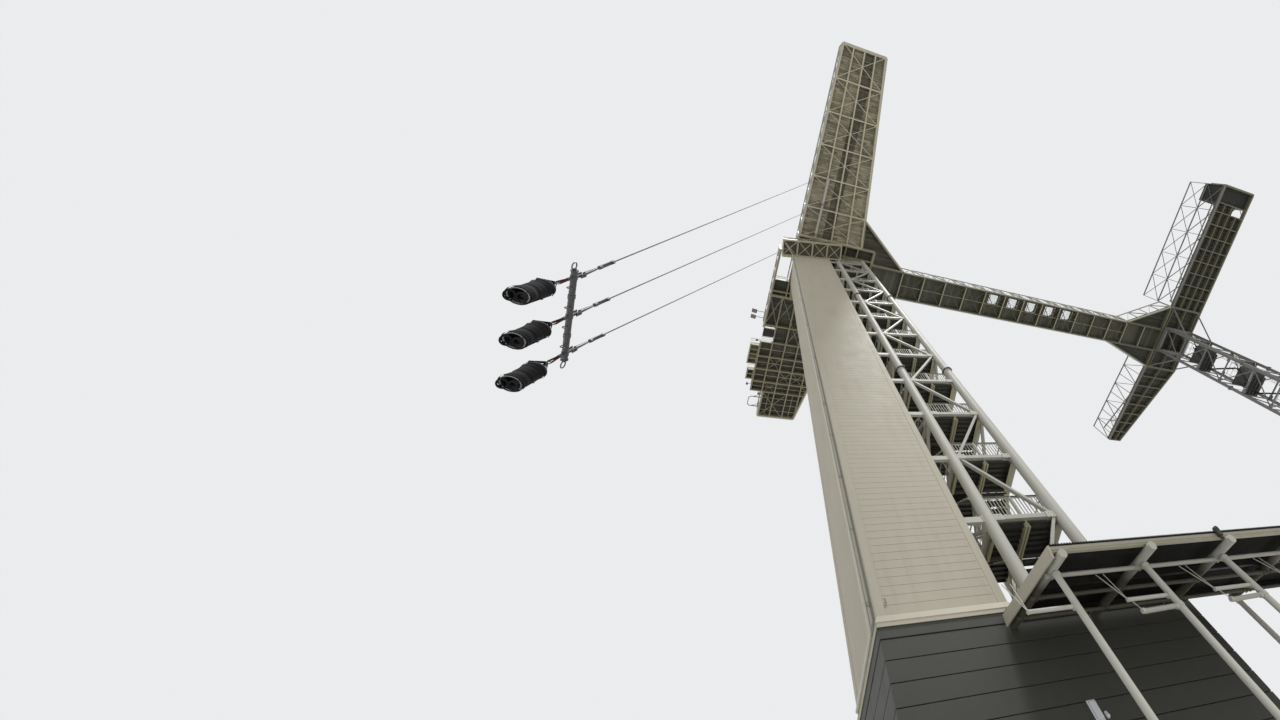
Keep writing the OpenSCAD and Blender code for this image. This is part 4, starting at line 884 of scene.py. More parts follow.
def makeGussets(look, levels):
    # Plates where the level beams and diagonals meet the columns
    bm = bmesh.new()
    thick, near, far = look["gussetThick"], columnRadius - 0.004, columnRadius + look["gusset"]
    for z in levels:
        for v in columnV:
            for u, sign in zip(columnU, (1, -1)):
                inner = sorted((u + sign * near, u + sign * far))
                for face in (v - landingHalf - thick, v + landingHalf):
                    addBlock(bm, (inner[0], face, z - 0.06), (inner[1], face + thick, z + 0.06))
                for du in (0.03, 0.09):
                    spot = u + sign * (columnRadius + du)
                    for dz in (0.03, -0.03):
                        addRod(bm, (spot, v - 0.05, z + dz), (spot, v + 0.05, z + dz), 0.008, 6)
        for u in columnU:
            for v, sign in zip(columnV, (1, -1)):
                inner = sorted((v + sign * near, v + sign * far))
                for face in (u - landingHalf - thick, u + landingHalf):
                    addBlock(bm, (face, inner[0], z - 0.10), (face + thick, inner[1], z + 0.02))
    makePiece("frameGussets", bm, "white_tube", turned=True)

    # End plates and bolts of the ties between the shaft and the columns
    bm = bmesh.new()
    wall, tieHigh = shaftHigh.x, spanOf("shaft_ties", towerTurn)[1]
    for z in levels[1:]:
        for v, reach, low, high in ((columnV[0], columnU[0] - columnRadius, z - 0.07, z + 0.04),
                                    (tieHigh.y - 0.03, tieHigh.x, z - 0.12, z - 0.04)):
            addBlock(bm, (wall, v - 0.055, low - 0.022), (wall + 0.022, v + 0.055, high + 0.022))
            addBlock(bm, (reach - 0.012, v - 0.045, low - 0.012), (reach + 0.006, v + 0.045, high + 0.012))
            for side in (-0.042, 0.042):
                for bolt in (low - 0.010, high + 0.010):
                    addRod(bm, (wall + 0.020, v + side, bolt), (wall + 0.032, v + side, bolt), 0.007, 6)
    makePiece("tieFittings", bm, "white_tube", turned=True, edge=0.002)


def makeLandings(look, z0):
    # Folded plates across the landings' undersides, and the stringers' flanges, which run on under them as beams
    bm, flanges = bmesh.new(), bmesh.new()
    edges = tuple(zip((u for lane in laneEdges for u in lane), (0.05, -0.032, 0.032, -0.085)))
    fall = look["stringerDrop"]
    fronts = [(z0 + k * storeyHeight, -0.65, flightV[0]) for k in range(1, storeys + 1)]
    rears = [(z0 + (k + 0.5) * storeyHeight, flightV[1], 1.41) for k in range(storeys)]
    for z, v0, v1 in sorted(fronts + rears):
        for v in steps(v0 + 0.05, v1 - 0.05, 0.11):
            addBlock(bm, (0.145, v - 0.008, z - 0.06), (1.195, v + 0.008, z - 0.02))
        for u, wide in edges:
            inner = sorted((u, u + wide))
            web = sorted((u, u + math.copysign(stringerThick, wide)))
            addBlock(flanges, (inner[0], v0, z - fall - 0.008), (inner[1], v1, z - fall))
            addBlock(flanges, (web[0], v0, z - fall), (web[1], v1, z - 0.03))
    for k in range(storeys):
        high = z0 + (k + 0.5) * storeyHeight - fall - 0.004
        for lane in (0, 1):
            low = z0 + (k + lane) * storeyHeight - fall - 0.004
            for u, wide in edges[2 * lane:2 * lane + 2]:
                middle = u + wide / 2
                addBar(flanges, (middle, flightV[0], low), (middle, flightV[1], high), abs(wide), 0.008)
    makePiece("stringerFlanges", flanges, "stair_steel", finish=stringerOlive, turned=True)
    makePiece("landingJoists", bm, "stair_steel", finish=slotShadow, turned=True)


def makeTreads(z0):
    # Nosing, rear lip and middle rib of every tread
    treads = bmesh.new()
    rise, going = storeyHeight / 2 / risers, (flightV[1] - flightV[0]) / (risers - 1)
    for k in range(storeys):
        for lane, (u0, u1) in enumerate(laneEdges):
            for i in range(1, risers):
                z = z0 + k * storeyHeight + (i * rise if lane == 0 else storeyHeight - i * rise) - 0.03
                v = flightV[0] + (i - 1) * going
                front, back = (v + 0.002, v + going - 0.014)[::1 if lane == 0 else -1]
                left, right, middle = u0 + stringerThick, u1 - stringerThick, (u0 + u1) / 2
                addBlock(treads, (left, front, z - 0.040), (right, front + 0.012, z))
                addBlock(treads, (left, back, z - 0.032), (right, back + 0.010, z - 0.016))
                addBlock(treads, (middle - 0.01, v + 0.012, z - 0.030), (middle + 0.01, v + going - 0.014, z - 0.016))
    makePiece("treadNosings", treads, "stair_steel", finish=slotShadow, turned=True)


def makeStairRails(look, z0):
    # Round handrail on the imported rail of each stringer, and a thin knee rail
    rails = bmesh.new()
    for k in range(storeys):
        for lane, (u0, u1) in enumerate(laneEdges):
            low, high = z0 + (k + lane) * storeyHeight, z0 + (k + 0.5) * storeyHeight
            for u in (u0 + 0.013, u1 - 0.013):
                addRails(rails, (u, flightV[0], low), (u, flightV[1], high), look["flightRails"])
    makePiece("flightHandrails", rails, "stair_steel", turned=True)

    # Round top rail, end posts and kick board on each landing guard
    rails, topRails = bmesh.new(), bmesh.new()
    u0, u1, v = 0.145, 1.195, -0.655
    for k in range(1, storeys):
        z = z0 + k * storeyHeight
        addRails(topRails, (u0, v, z), (u1, v, z), ((0.548, look["topRail"]), ))
        addBlock(rails, (u0, v - 0.012, z + 0.002), (u1, v - 0.004, z + 0.085))
        for u in (u0 + 0.01, (u0 + u1) / 2, u1 - 0.01):
            addBlock(rails, (u - 0.012, v - 0.014, z - 0.05), (u + 0.012, v + 0.012, z + 0.54))
        addBar(rails, (u1 - 0.30, v + 0.01, z + 0.04), (u1 - 0.02, v + 0.01, z + 0.50), 0.008, 0.016, (0, 1, 0))
    u0, u1, v = 0.15, 1.19, 1.405
    for k in range(storeys):
        z = z0 + (k + 0.5) * storeyHeight
        addRails(rails, (u0, v, z), (u1, v, z), look["rearRails"])
        for u in steps(u0 + 0.01, u1 - 0.01, 0.34):
            addPost(rails, u, v, z, z + 0.52, 0.01)
        addBlock(rails, (u0, v - 0.004, z), (u1, v + 0.004, z + 0.07))
        for u in (0.085, 1.255):
            addRails(rails, (u, flightV[1], z), (u, 1.33, z), look["sideRails"])
    for k in range(1, storeys + 1):
        z = z0 + k * storeyHeight
        for u in (0.085, 1.255):
            addRails(rails, (u, -0.57, z), (u, flightV[0], z), look["sideRails"])
            for v in (-0.56, -0.3, -0.04):
                addPost(rails, u, v, z, z + 0.52, 0.009)
    makePiece("landingGuards", rails, "grey_steel", turned=True)
    makePiece("landingTopRails", topRails, "stair_steel", finish=darkTread, turned=True)


def makeStair(look):
    z0 = baseHigh.z
    makeColumnFittings(look, z0)
    makeGussets(look, [z0 + 0.04 + k * storeyHeight for k in range(storeys + 1)])
    makeLandings(look, z0)
    makeTreads(z0)
    makeStairRails(look, z0)


makeStair(stairLook)
print("stair tower dressed")

# Decks: slats cut to outlines in plan
deckLow = spanOf("front_jetty_beams")[0].z
plateLow, walkTop = (corner.z for corner in spanOf("front_jetty_plates"))


def rectangle(low, high):
    return [low, (high[0], low[1]), high, (low[0], high[1])]


# The right edges of the front and rear jetties run at a slant: x changes by this with each metre of y
frontSlope, rearSlope = 1.115 / 8.65, -1.38 / 6.6


def frontEdge(y):
    return 1.065 + frontSlope * (y + 1.45)


def rearEdge(y):
    return 1.15 + rearSlope * (y - 1.75)


frontOutline = [(-2.05, -1.45), (-2.05, -10.10), (-0.05, -10.10), (1.065, -1.45)]
nearArmOutline = rectangle((21.15, -8.44), (23.45, -2.30))
nearPlatform = rectangle((21.15, -8.97), (22.65, -8.44))
farArmOutline = [(21.05, 1.775), (23.45, 1.775), (21.50, 7.275), (20.65, 7.275)]
rearTip = [(-2.10, 6.95), (rearEdge(6.95), 6.95), (-0.23, 8.35), (-2.10, 8.35)]
headStrip = rectangle((-2.75, 0.90), (-2.05, 1.75))
headMain = rectangle((-2.05, -1.45), (1.75, 1.75))
hubOutline = rectangle((21.05, -2.30), (23.45, 1.775))
nearCorner = [(18.275, -0.75), (21.05, -2.30), (21.05, -0.75)]
farCorner = [(17.35, 0.65), (21.05, 0.65), (21.05, 1.775)]

deckLook = {"slat": 0.112, "slatGap": 0.016, "underThick": 0.010, "overThick": 0.008}


def slatsOver(bm, outline, alongX, low, high, look):
    # Slats that lie along x or along y, cut to the outline
    xs, ys = ([spot[axis] for spot in outline] for axis in (0, 1))
    across = ys if alongX else xs
    part = bmesh.new()
    for edge in steps(min(across), max(across), look["slat"])[:-1]:
        start, end = edge + look["slatGap"] / 2, min(edge + look["slat"] - look["slatGap"] / 2, max(across))
        if alongX:
            addBlock(part, (min(xs) - 0.01, start, low), (max(xs) + 0.01, end, high))
        else:
            addBlock(part, (start, min(ys) - 0.01, low), (end, max(ys) + 0.01, high))
    clipTo(part, outline)
    addCopy(bm, part)


def makeDecks(look):
    jetty, under, over = bmesh.new(), bmesh.new(), bmesh.new()
    alongX = (frontOutline, nearArmOutline, nearPlatform, farArmOutline, rearTip)
    for outline in (*alongX, headStrip, hubOutline, nearCorner, farCorner, headMain):
        below = jetty if outline is frontOutline else under
        slatsOver(below, outline, outline in alongX, plateLow - look["underThick"], plateLow, look)
        slatsOver(over, outline, outline in alongX, walkTop, walkTop + look["overThick"], look)
    makePiece("underSlats", under, "deck_plate", finish=armBoards)
    makePiece("jettySlats", jetty, "deck_plate", finish=jettyBoards)
    makePiece("deckSlats", over, "deck_plate")


makeDecks(deckLook)

# Thin angles under the jetties' boards: half-way joists across, and crossed rods in some bays
stayLook = {
    "lift": 0.012,
    "rod": 0.008,
    "joist": 0.018,
    "columns": (-2.75, -2.15, -1.50, -0.85, -0.20, 0.45),
    "rows": (1.75, 2.975, 4.20, 5.00, 5.70, 6.40, 6.95),
    # Each bay with crossed rods, as its row and column
    "crossed": ((0, 1), (0, 4), (1, 2), (1, 3), (3, 1), (3, 4), (4, 2), (4, 3), (5, 1), (5, 4)),
}


def makeStays(look):
    bm = bmesh.new()
    z, joist = deckLow + look["lift"], look["joist"]

    def addJoist(start, end, lift=0.06, wide=joist, depth=joist):
        addBar(bm, (*start, z + lift), (*end, z + lift), wide, depth)

    columns = list(zip(look["columns"], look["columns"][1:]))
    for row, (y0, y1) in enumerate(zip(look["rows"], look["rows"][1:])):
        middle = (y0 + y1) / 2
        if row > 1:
            addJoist((-2.70, middle), (rearEdge(middle) - 0.03, middle))
        for column, (x0, x1) in enumerate(columns):
            if (row, column) in look["crossed"]:
                addRod(bm, (x0, y0, z + 0.02), (x1, y1, z + 0.02), look["rod"], 6)
                addRod(bm, (x1, y0, z + 0.035), (x0, y1, z + 0.035), look["rod"], 6)
    for x in (-1.775, -0.525):
        addJoist((x, 7.0), (x, 8.30))
    for y in (7.30, 7.65, 8.0):
        addJoist((-2.06, y), (0.06 + rearSlope * (y - 6.95), y), 0.08)
    for y in steps(-9.7, -1.9, 0.62):
        addJoist((-2.02, y), (frontEdge(y) - 0.04, y), 0.15, 0.014, 0.03)
    makePiece("deckStays", bm, "beige_steel")


makeStays(stayLook)

# Under the bridge: pale flanges on the cross beams, an angle down the middle, and trimmers beside the glass squares
bridgeLook = {"first": 3.50, "last": 18.275, "bays": 12, "cornerBeam": 19.675, "wide": 0.066, "thick": 0.005,
              "middle": -0.05, "angle": 0.022, "lift": 0.045, "trimmer": 0.285}


def makeBridgeLines(look):
    flanges, angles = bmesh.new(), bmesh.new()
    low, high = deckLow - look["thick"], deckLow - 0.0004
    pitch, angle, middle = (look["last"] - look["first"]) / look["bays"], look["angle"], look["middle"]
    places = [look["first"] + pitch * i for i in range(look["bays"] + 1)]
    for x in places + [look["cornerBeam"]]:
        addBlock(flanges, (x - look["wide"] / 2, -0.70, low), (x + look["wide"] / 2, 0.60, high))
    makePiece("bridgeFlanges", flanges, "beige_steel", finish=bridgeOlive)
    z = deckLow + look["lift"]
    addBar(angles, (look["first"], middle, z), (look["last"], middle, z), angle, angle)
    for place in places[4:9]:
        for side in (-look["trimmer"], look["trimmer"]):
            x = place + pitch / 2 + side
            addBar(angles, (x, middle, z + 0.01), (x, -0.71, z + 0.01), angle, 0.03)
    makePiece("bridgeAngles", angles, "beige_steel", finish=bridgeOlive)


makeBridgeLines(bridgeLook)

# Rear jetty: louvred box at the open well, small boxes on arms, channels round the two jump platforms
rearLook = {"boxLow": (-2.72, 3.50), "boxHigh": (-2.18, 3.92), "slats": 7,
            "arms": ((4.18, 0.10), (6.62, 0.12), (7.10, -0.55)), "channel": 0.05}
jumpPlatforms = (((-3.20, 4.40), (-2.75, 5.45)), ((-3.10, 5.75), (-2.75, 6.30)))


def makeRearFittings(look):
    box, edge = bmesh.new(), bmesh.new()
    low, high = Vector((*look["boxLow"], deckLow + 0.02)), Vector((*look["boxHigh"], deckLow + 0.24))
    addBlock(box, (low.x, low.y, low.z + 0.03), high)
    z = low.z + 0.012
    for y in steps(low.y + 0.02, high.y - 0.02, (high.y - low.y) / look["slats"]):
        addBar(box, (low.x + 0.02, y, z), (high.x - 0.02, y, z), 0.04, 0.006, (0, 0.6, 1))
    for x in (low.x, high.x - 0.015):
        addBlock(box, (x, low.y, low.z), (x + 0.015, high.y, low.z + 0.03))
    z = deckLow + 0.10
    for y, reach in look["arms"]:
        end = -2.78 - reach
        addBlock(box, (end - 0.10, y - 0.05, z - 0.08), (end, y + 0.05, z + 0.06))
        addBar(edge, (end, y, z), (-2.72 if reach > 0 else -2.10, y, z), 0.02, 0.03)
    makePiece("rearBoxes", box, "dark_sheet", edge=0.003)
    z0 = spanOf("jump_platforms")[0].z
    for (x0, y0), (x1, y1) in jumpPlatforms:
        for y in (y0, y1 - 0.04):
            addBlock(edge, (x0, y, z0 - look["channel"]), (x1 - 0.001, y + 0.04, z0))
        addBlock(edge, (x0, y0, z0 - look["channel"]), (x0 + 0.04, y1, z0))
        for y in steps(y0 + 0.04, y1 - 0.04, 0.25)[1:-1]:
            addBlock(edge, (x0 + 0.04, y - 0.01, z0 - 0.035), (x1 - 0.001, y + 0.01, z0))
    makePiece("platformEdges", edge, "beige_steel")


makeRearFittings(rearLook)
print("decks dressed")

# Deck edges: round handrails with mid rails, posts and kick boards where no lattice side stands
railLook = {"height": 0.53, "tube": 0.014, "mid": 0.009, "post": 0.011, "postStep": 0.62, "kick": 0.07,
            "latticeHeight": 1.05, "topTube": 0.02}


def addGuard(bm, start, end, look):
    start, end, height = Vector((*start, walkTop)), Vector((*end, walkTop)), look["height"]
    addRails(bm, start, end, ((height, look["tube"]), (height * 0.52, look["mid"])))
    for part in steps(0, 1, look["postStep"] / (end - start).length):
        spot = start.lerp(end, part)
        addPost(bm, spot.x, spot.y, walkTop, walkTop + height, look["post"], 6)
    half = Vector((0, 0, look["kick"] / 2))
    addBar(bm, start + half, end + half, 0.006, look["kick"])


def makeGuards(look):
    bm = bmesh.new()
    runs = [
        ((-2.03, 1.02), (-2.03, 1.62)), ((-2.72, -0.56), (-2.08, -0.56)), ((-2.10, -0.52), (-2.10, 0.88)),
        ((-2.72, 0.93), (-2.10, 0.93)), ((-2.72, 1.80), (-2.72, 3.42)), ((-2.14, 3.44), (-2.14, 4.18)),
        ((-2.70, 3.44), (-2.14, 3.44)), ((-2.70, 4.24), (-2.20, 4.24)), ((-2.72, 6.32), (-2.72, 6.92)),
        ((-2.70, 6.92), (-2.14, 6.92)),
    ]
    for (x0, y0), (x1, y1) in jumpPlatforms:
        runs += [((x0 + 0.02, y), (x1, y)) for y in (y0 + 0.02, y1 - 0.02)]
    for start, end in runs:
        addGuard(bm, start, end, look)
    makePiece("deckGuards", bm, "grey_steel")

    # Round handrails on top of the lattice sides
    bm = bmesh.new()
    top = deckLow + look["latticeHeight"] + 0.03
    sides = (
        ((-2.075, -1.5), (-2.075, -10.08)), ((-0.02, -10.10), (frontEdge(-2.85) + 0.03, -2.85)),
        ((-2.05, -10.125), (-0.05, -10.125)), ((3.55, -0.775), (18.22, -0.775)), ((17.3, 0.675), (3.55, 0.675)),
        ((-2.775, 1.75), (-2.775, 3.45)), ((-0.23, 8.375), (-2.10, 8.375)), ((-2.125, 8.3), (-2.125, 7.05)),
        ((23.475, -2.25), (23.475, 1.75)),
    )
    for start, end in sides:
        start, end = Vector((*start, top)), Vector((*end, top))
        addRod(bm, start, end, look["topTube"])
        for part in steps(0, 1, 1.2 / (end - start).length):
            spot = start.lerp(end, part)
            addPost(bm, spot.x, spot.y, top - 0.04, top, 0.008, 6)
    makePiece("topHandrails", bm, "grey_steel")


makeGuards(railLook)

# Service balcony: dark plates that fill the bays of its underside, and braces down to the shaft
balconyLook = {"bays": 4, "plateZ": 0.15, "plateThick": 0.008, "brace": 0.035}


def makeBalcony(look):
    low, high = spanOf("service_balcony", towerTurn)
    z, wall = low.z + look["plateZ"], shaftLow.y
    bm = bmesh.new()
    for u0, u1 in cells(low.x, high.x, (high.x - low.x) / look["bays"]):
        addBlock(bm, (u0 + 0.035, low.y + 0.045, z - look["plateThick"]), (u1 - 0.035, wall - 0.045, z - 0.0005))
    makePiece("balconyPanels", bm, "deck_plate", finish=balconyPlate, turned=True)
    bm = bmesh.new()
    inner, brace = shaftLow.x - 0.02, look["brace"]
    addBar(bm, (low.x + 0.12, low.y + 0.16, low.z - 0.012), (inner, wall - 0.02, low.z - 0.20), brace, brace)
    addBlock(bm, (low.x + 0.01, wall - 0.05, low.z - 0.09), (inner, wall + 0.05, low.z - 0.001))
    addBlock(bm, (low.x, low.y - 0.012, low.z - 0.004), (high.x, low.y, low.z + 0.158))
    for u in (low.x + 0.10, low.x + 0.30):
        addBlock(bm, (u, wall - 0.03, low.z - 0.22), (u + 0.03, wall + 0.03, low.z - 0.09))
    makePiece("balconyBraces", bm, "beige_steel", finish=stringerOlive, turned=True)


makeBalcony(balconyLook)

# Floodlights on two arms at the head's left edge
floodLook = {"armY": (2.75, 3.05), "armZ": 23.52, "reach": 0.52, "head": (0.12, 0.20, 0.07), "tilt": 25, "fins": 7}


def makeFloods(look):
    arms, heads, lenses = bmesh.new(), bmesh.new(), bmesh.new()
    dx, dy, dz = look["head"]
    for y in look["armY"]:
        root = Vector((-2.79, y, look["armZ"]))
        tip = root - Vector((look["reach"], 0, 0))
        addRod(arms, root, tip, 0.018)
        addBlock(arms, (root.x - 0.01, y - 0.05, root.z - 0.07), (root.x + 0.02, y + 0.05, root.z + 0.07))
        addRod(arms, root + Vector((0, 0, -0.06)), root + Vector((-0.25, 0, -0.005)), 0.010, 8)
        turn = Matrix.Translation(tip - Vector((0.02, 0, 0.03))) @ Matrix.Rotation(math.radians(look["tilt"]), 4, "Y")
        part = bmesh.new()
        addBlock(part, (-dx, -dy / 2, -dz / 2), (dx, dy / 2, dz / 2))
        for i in range(look["fins"]):
            fin = -dx * 0.9 + i * dx * 0.28
            addBlock(part, (fin, -dy * 0.44, dz / 2), (fin + 0.006, dy * 0.44, dz / 2 + 0.025))
        bmesh.ops.transform(part, matrix=turn, verts=part.verts)
        addCopy(heads, part)
        verts = addBlock(lenses, (-dx * 0.9, -dy * 0.44, -dz / 2 - 0.006), (dx * 0.9, dy * 0.44, -dz / 2))
        bmesh.ops.transform(lenses, matrix=turn, verts=verts)
        for side in (-0.108, 0.108):
            addBar(arms, tip + Vector((0, side, 0)), tip + Vector((-0.02, side, -0.05)), 0.005, 0.03)
        addBar(arms, tip + Vector((0, -0.11, 0)), tip + Vector((0, 0.11, 0)), 0.03, 0.005)
    makePiece("floodArms", arms, "grey_steel")
    makePiece("floodHeads", heads, "dark_sheet", edge=0.006)
    makePiece("floodLenses", lenses, "lamp_white", finish=shadeStripAndLensGrey)


makeFloods(floodLook)

# Bent rail at the rear tip, with sleeves and stays where it leaves the deck
bentLook = {"rootX": -2.12, "outX": -2.72, "y": (7.30, 7.83), "corner": 0.10, "lift": 0.05, "tube": 0.018}


def makeBentRail(look):
    bm = bmesh.new()
    z, root, out, corner = deckLow + look["lift"], look["rootX"], look["outX"], look["corner"]
    y0, y1 = look["y"]
    spots = ((root, y0), (out + corner, y0), (out, y0 + 0.08), (out, y1 - 0.08), (out + corner, y1), (root, y1))
    addRodPath(bm, [Vector((*spot, z)) for spot in spots], look["tube"], 10)
    for y in look["y"]:
        addRod(bm, (root - 0.01, y, z), (-2.5, y, z), 0.024)
        addRod(bm, (root, y, z + 0.3), (-2.55, y, z), 0.010, 8)
    makePiece("rearBentRail", bm, "cable_steel")


makeBentRail(bentLook)
print("guards and floodlights made")

# Winch house: a ribbed cabin with a door to the side platform, louvres, and a roof with an edge
winchLook = {"rib": 0.10, "gap": 0.014, "ribDepth": 0.012, "roofOver": 0.04, "doorX": 0.55, "doorWide": 0.42,
             "doorHigh": 1.02, "frame": 0.03, "louvres": 5}


def makeWinchHouse(look):
    low, high = spanOf("winch_house")
    deep, gap, frame, foot = look["ribDepth"], look["gap"] / 2, look["frame"], low.z + 0.02
    x0, x1, face = low.x + look["doorX"], low.x + look["doorX"] + look["doorWide"], high.y - deep
    bm = bmesh.new()
    addBlock(bm, (low.x + deep, low.y + deep, low.z), (high.x - deep, high.y - deep, high.z))
    for left, right in cells(low.x, high.x, look["rib"]):
        addBlock(bm, (left + gap, low.y, foot), (right - gap, low.y + deep, high.z))
        if right < x0 - frame or left > x1 + frame:
            addBlock(bm, (left + gap, face, foot), (right - gap, high.y, high.z))
    for y0, y1 in cells(low.y + deep, face, look["rib"]):
        for left in (low.x, high.x - deep):
            addBlock(bm, (left, y0 + gap, foot), (left + deep, y1 - gap, high.z))
    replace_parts(makePiece("winchCladding", bm, "dark_sheet", finish=winchBlack, edge=0.002), "winch_house")

    bm = bmesh.new()
    rim = high.y + look["roofOver"]
    addBlock(bm, (low.x, low.y - 0.001, high.z), (high.x, rim, high.z + 0.03))
    addBlock(bm, (low.x, rim - 0.01, high.z - 0.035), (high.x, rim, high.z))
    makePiece("winchRoof", bm, "grey_steel", edge=0.004)

    bm = bmesh.new()
    top = look["doorHigh"]
    addBlock(bm, (x0, face, low.z + 0.03), (x1, face + 0.016, low.z + top))
    for u0, u1, z0 in ((x0 - frame, x0, 0.02), (x1, x1 + frame, 0.02), (x0, x1, top)):
        addBlock(bm, (u0, face, low.z + z0), (u1, face + 0.022, low.z + top + frame))
    grip, z = x0 + 0.04, low.z + 0.52
    addRod(bm, (grip, face + 0.01, z), (grip, face + 0.044, z), 0.006, 8)
    addRod(bm, (grip, face + 0.040, z), (grip + 0.06, face + 0.040, z), 0.007, 8)
    for i in range(look["louvres"]):
        z = low.z + 0.80 + i * 0.035
        addBar(bm, (x0 + 0.08, face + 0.018, z), (x1 - 0.08, face + 0.018, z), 0.006, 0.024, (0, 0.5, 1))
    makePiece("winchDoor", bm, "dark_sheet", edge=0.002)


makeWinchHouse(winchLook)

# Mast: gussets, flanges, feet, plates and stairs between the platforms, rails and the ladder's cage
mastLook = {"gusset": 0.16, "legHalf": 0.066, "rails": ((0.5, 0.012), (0.26, 0.008)), "cageLow": 1.8,
            "cageHigh": 22.6, "hoopStep": 0.72, "hoopRadius": 0.20}
mastX, mastY = (21.25, 23.25), (-0.95, 0.50)
mastBays = 16
mastBay = 23.05 / mastBays


def makeMastPlates(look):
    bm = bmesh.new()
    near, far = look["legHalf"], look["legHalf"] + 0.004 + look["gusset"]
    for i in range(1, mastBays):
        z0, z1 = i * mastBay - 0.09, i * mastBay + 0.09
        for x, sign in zip(mastX, (1, -1)):
            for y, side in zip(mastY, (1, -1)):
                for xs, ys in (((x + sign * near, x + sign * far), (y - side * 0.025, y - side * 0.037)),
                               ((x - sign * 0.025, x - sign * 0.037), (y + side * near, y + side * far))):
                    addBlock(bm, (min(xs), min(ys), z0), (max(xs), max(ys), z1))
    legs = [(x, y) for x in mastX for y in mastY]
    for i in range(0, mastBays, 4):
        z = i * mastBay + mastBay / 2
        for x, y in legs:
            addPlate(bm, x, y, 0.12, z - 0.02, z - 0.002)
            addPlate(bm, x, y, 0.12, z + 0.002, z + 0.02)
            addBolts(bm, x, y, 0.095, z - 0.032, z + 0.032, 0.010)
    for x, y in legs:
        addBolts(bm, x, y, 0.16, 0.04, 0.075, 0.018)
        for near, far in ((-0.064, -0.184), (0.064, 0.184)):
            addBar(bm, (x + near, y, 0.10), (x + far, y, 0.10), 0.014, 0.12)
            addBar(bm, (x, y + near, 0.10), (x, y + far, 0.10), 0.014, 0.12)
    makePiece("mastPlates", bm, "grey_steel", finish=shadedSteel)


def makeMastFloors(look):
    # Chequer plates beside the rest platforms that lie on the right, so that the left side has one at every bay
    bm = bmesh.new()
    for i in range(2, mastBays, 2):
        z = i * mastBay
        addBlock(bm, (21.34, -0.55, z - 0.004), (21.98, 0.42, z + 0.004))
        for y in (-0.55, 0.42):
            addBlock(bm, (21.30, y - 0.02, z - 0.06), (21.98, y + 0.02, z - 0.004))
        for x in (21.50, 21.74, 21.98):
            addBlock(bm, (x - 0.01, -0.57, z - 0.05), (x + 0.01, 0.44, z - 0.004))
    makePiece("halfPlatforms", bm, "dark_sheet")

    # Steep stairs from each left platform to the next, in the outer half of the mast
    bm = bmesh.new()
    for i in range(1, mastBays - 1):
        z = i * mastBay
        y0, y1 = (-0.45, 0.30) if i % 2 else (0.30, -0.45)
        for x in (21.99, 22.17):
            addBar(bm, (x, y0, z), (x, y1, z + mastBay - 0.02), 0.010, 0.06, (0, 1, 0))
        for part in steps(0.06, 0.94, 0.11):
            y, rung = y0 + (y1 - y0) * part, z + mastBay * part
            addBlock(bm, (21.995, y - 0.022, rung - 0.004), (22.165, y + 0.022, rung + 0.004))
    makePiece("mastStairs", bm, "dark_sheet")

    # Rails round each rest platform, which lies on the right at every odd bay and on the left at the others
    bm = bmesh.new()
    middle, rear = 22.25, 0.45
    for i in range(1, mastBays):
        z = i * mastBay + 0.02
        x0, x1 = (middle, middle + 0.92) if i % 2 else (middle - 0.92, middle)
        addRails(bm, (middle, -0.60, z), (middle, rear, z), look["rails"])
        for y in (-0.90, rear):
            addRails(bm, (x0, y, z), (x1, y, z), look["rails"])
        for y in (-0.60, -0.25, 0.10, rear):
            addPost(bm, middle, y, z, z + 0.5, 0.010, 6)
    makePiece("platformRails", bm, "stair_steel")


def makeLadderCage(look):
    bm = bmesh.new()
    middle, radius = Vector((22.25, -0.765, 0)), look["hoopRadius"]
    for z in steps(look["cageLow"], look["cageHigh"], look["hoopStep"]):
        addRing(bm, (*middle.xy, z), (0, 0, 1), radius, 0.007, 14, 6)
    for angle in (30, 90, 150):
        spot = middle + radius * Vector((math.cos(math.radians(angle)), math.sin(math.radians(angle)), 0))
        addPost(bm, spot.x, spot.y, look["cageLow"], look["cageHigh"], 0.006, 6)
    makePiece("ladderCage", bm, "stair_steel")


makeMastPlates(mastLook)
makeMastFloors(mastLook)
makeLadderCage(mastLook)
print("outer cross and mast dressed")

# Swing: all of it is made hanging straight down and then turned to its rest angle
swingLook = {"angle": 13.9, "length": 18.35, "hinge": (-1.32, -3.14, 23.06), "topSpread": 1.45, "spread": 0.39,
             "barHalf": 0.45}
swingPlace = Matrix.Translation(swingLook["hinge"]) @ Matrix.Rotation(math.radians(swingLook["angle"]), 4, "Y")


def makeSwingPiece(name, bm, slotName="harness_webbing", finish=None):
    return makePiece(name, bm, slotName, body="swing", finish=finish, place=swingPlace)


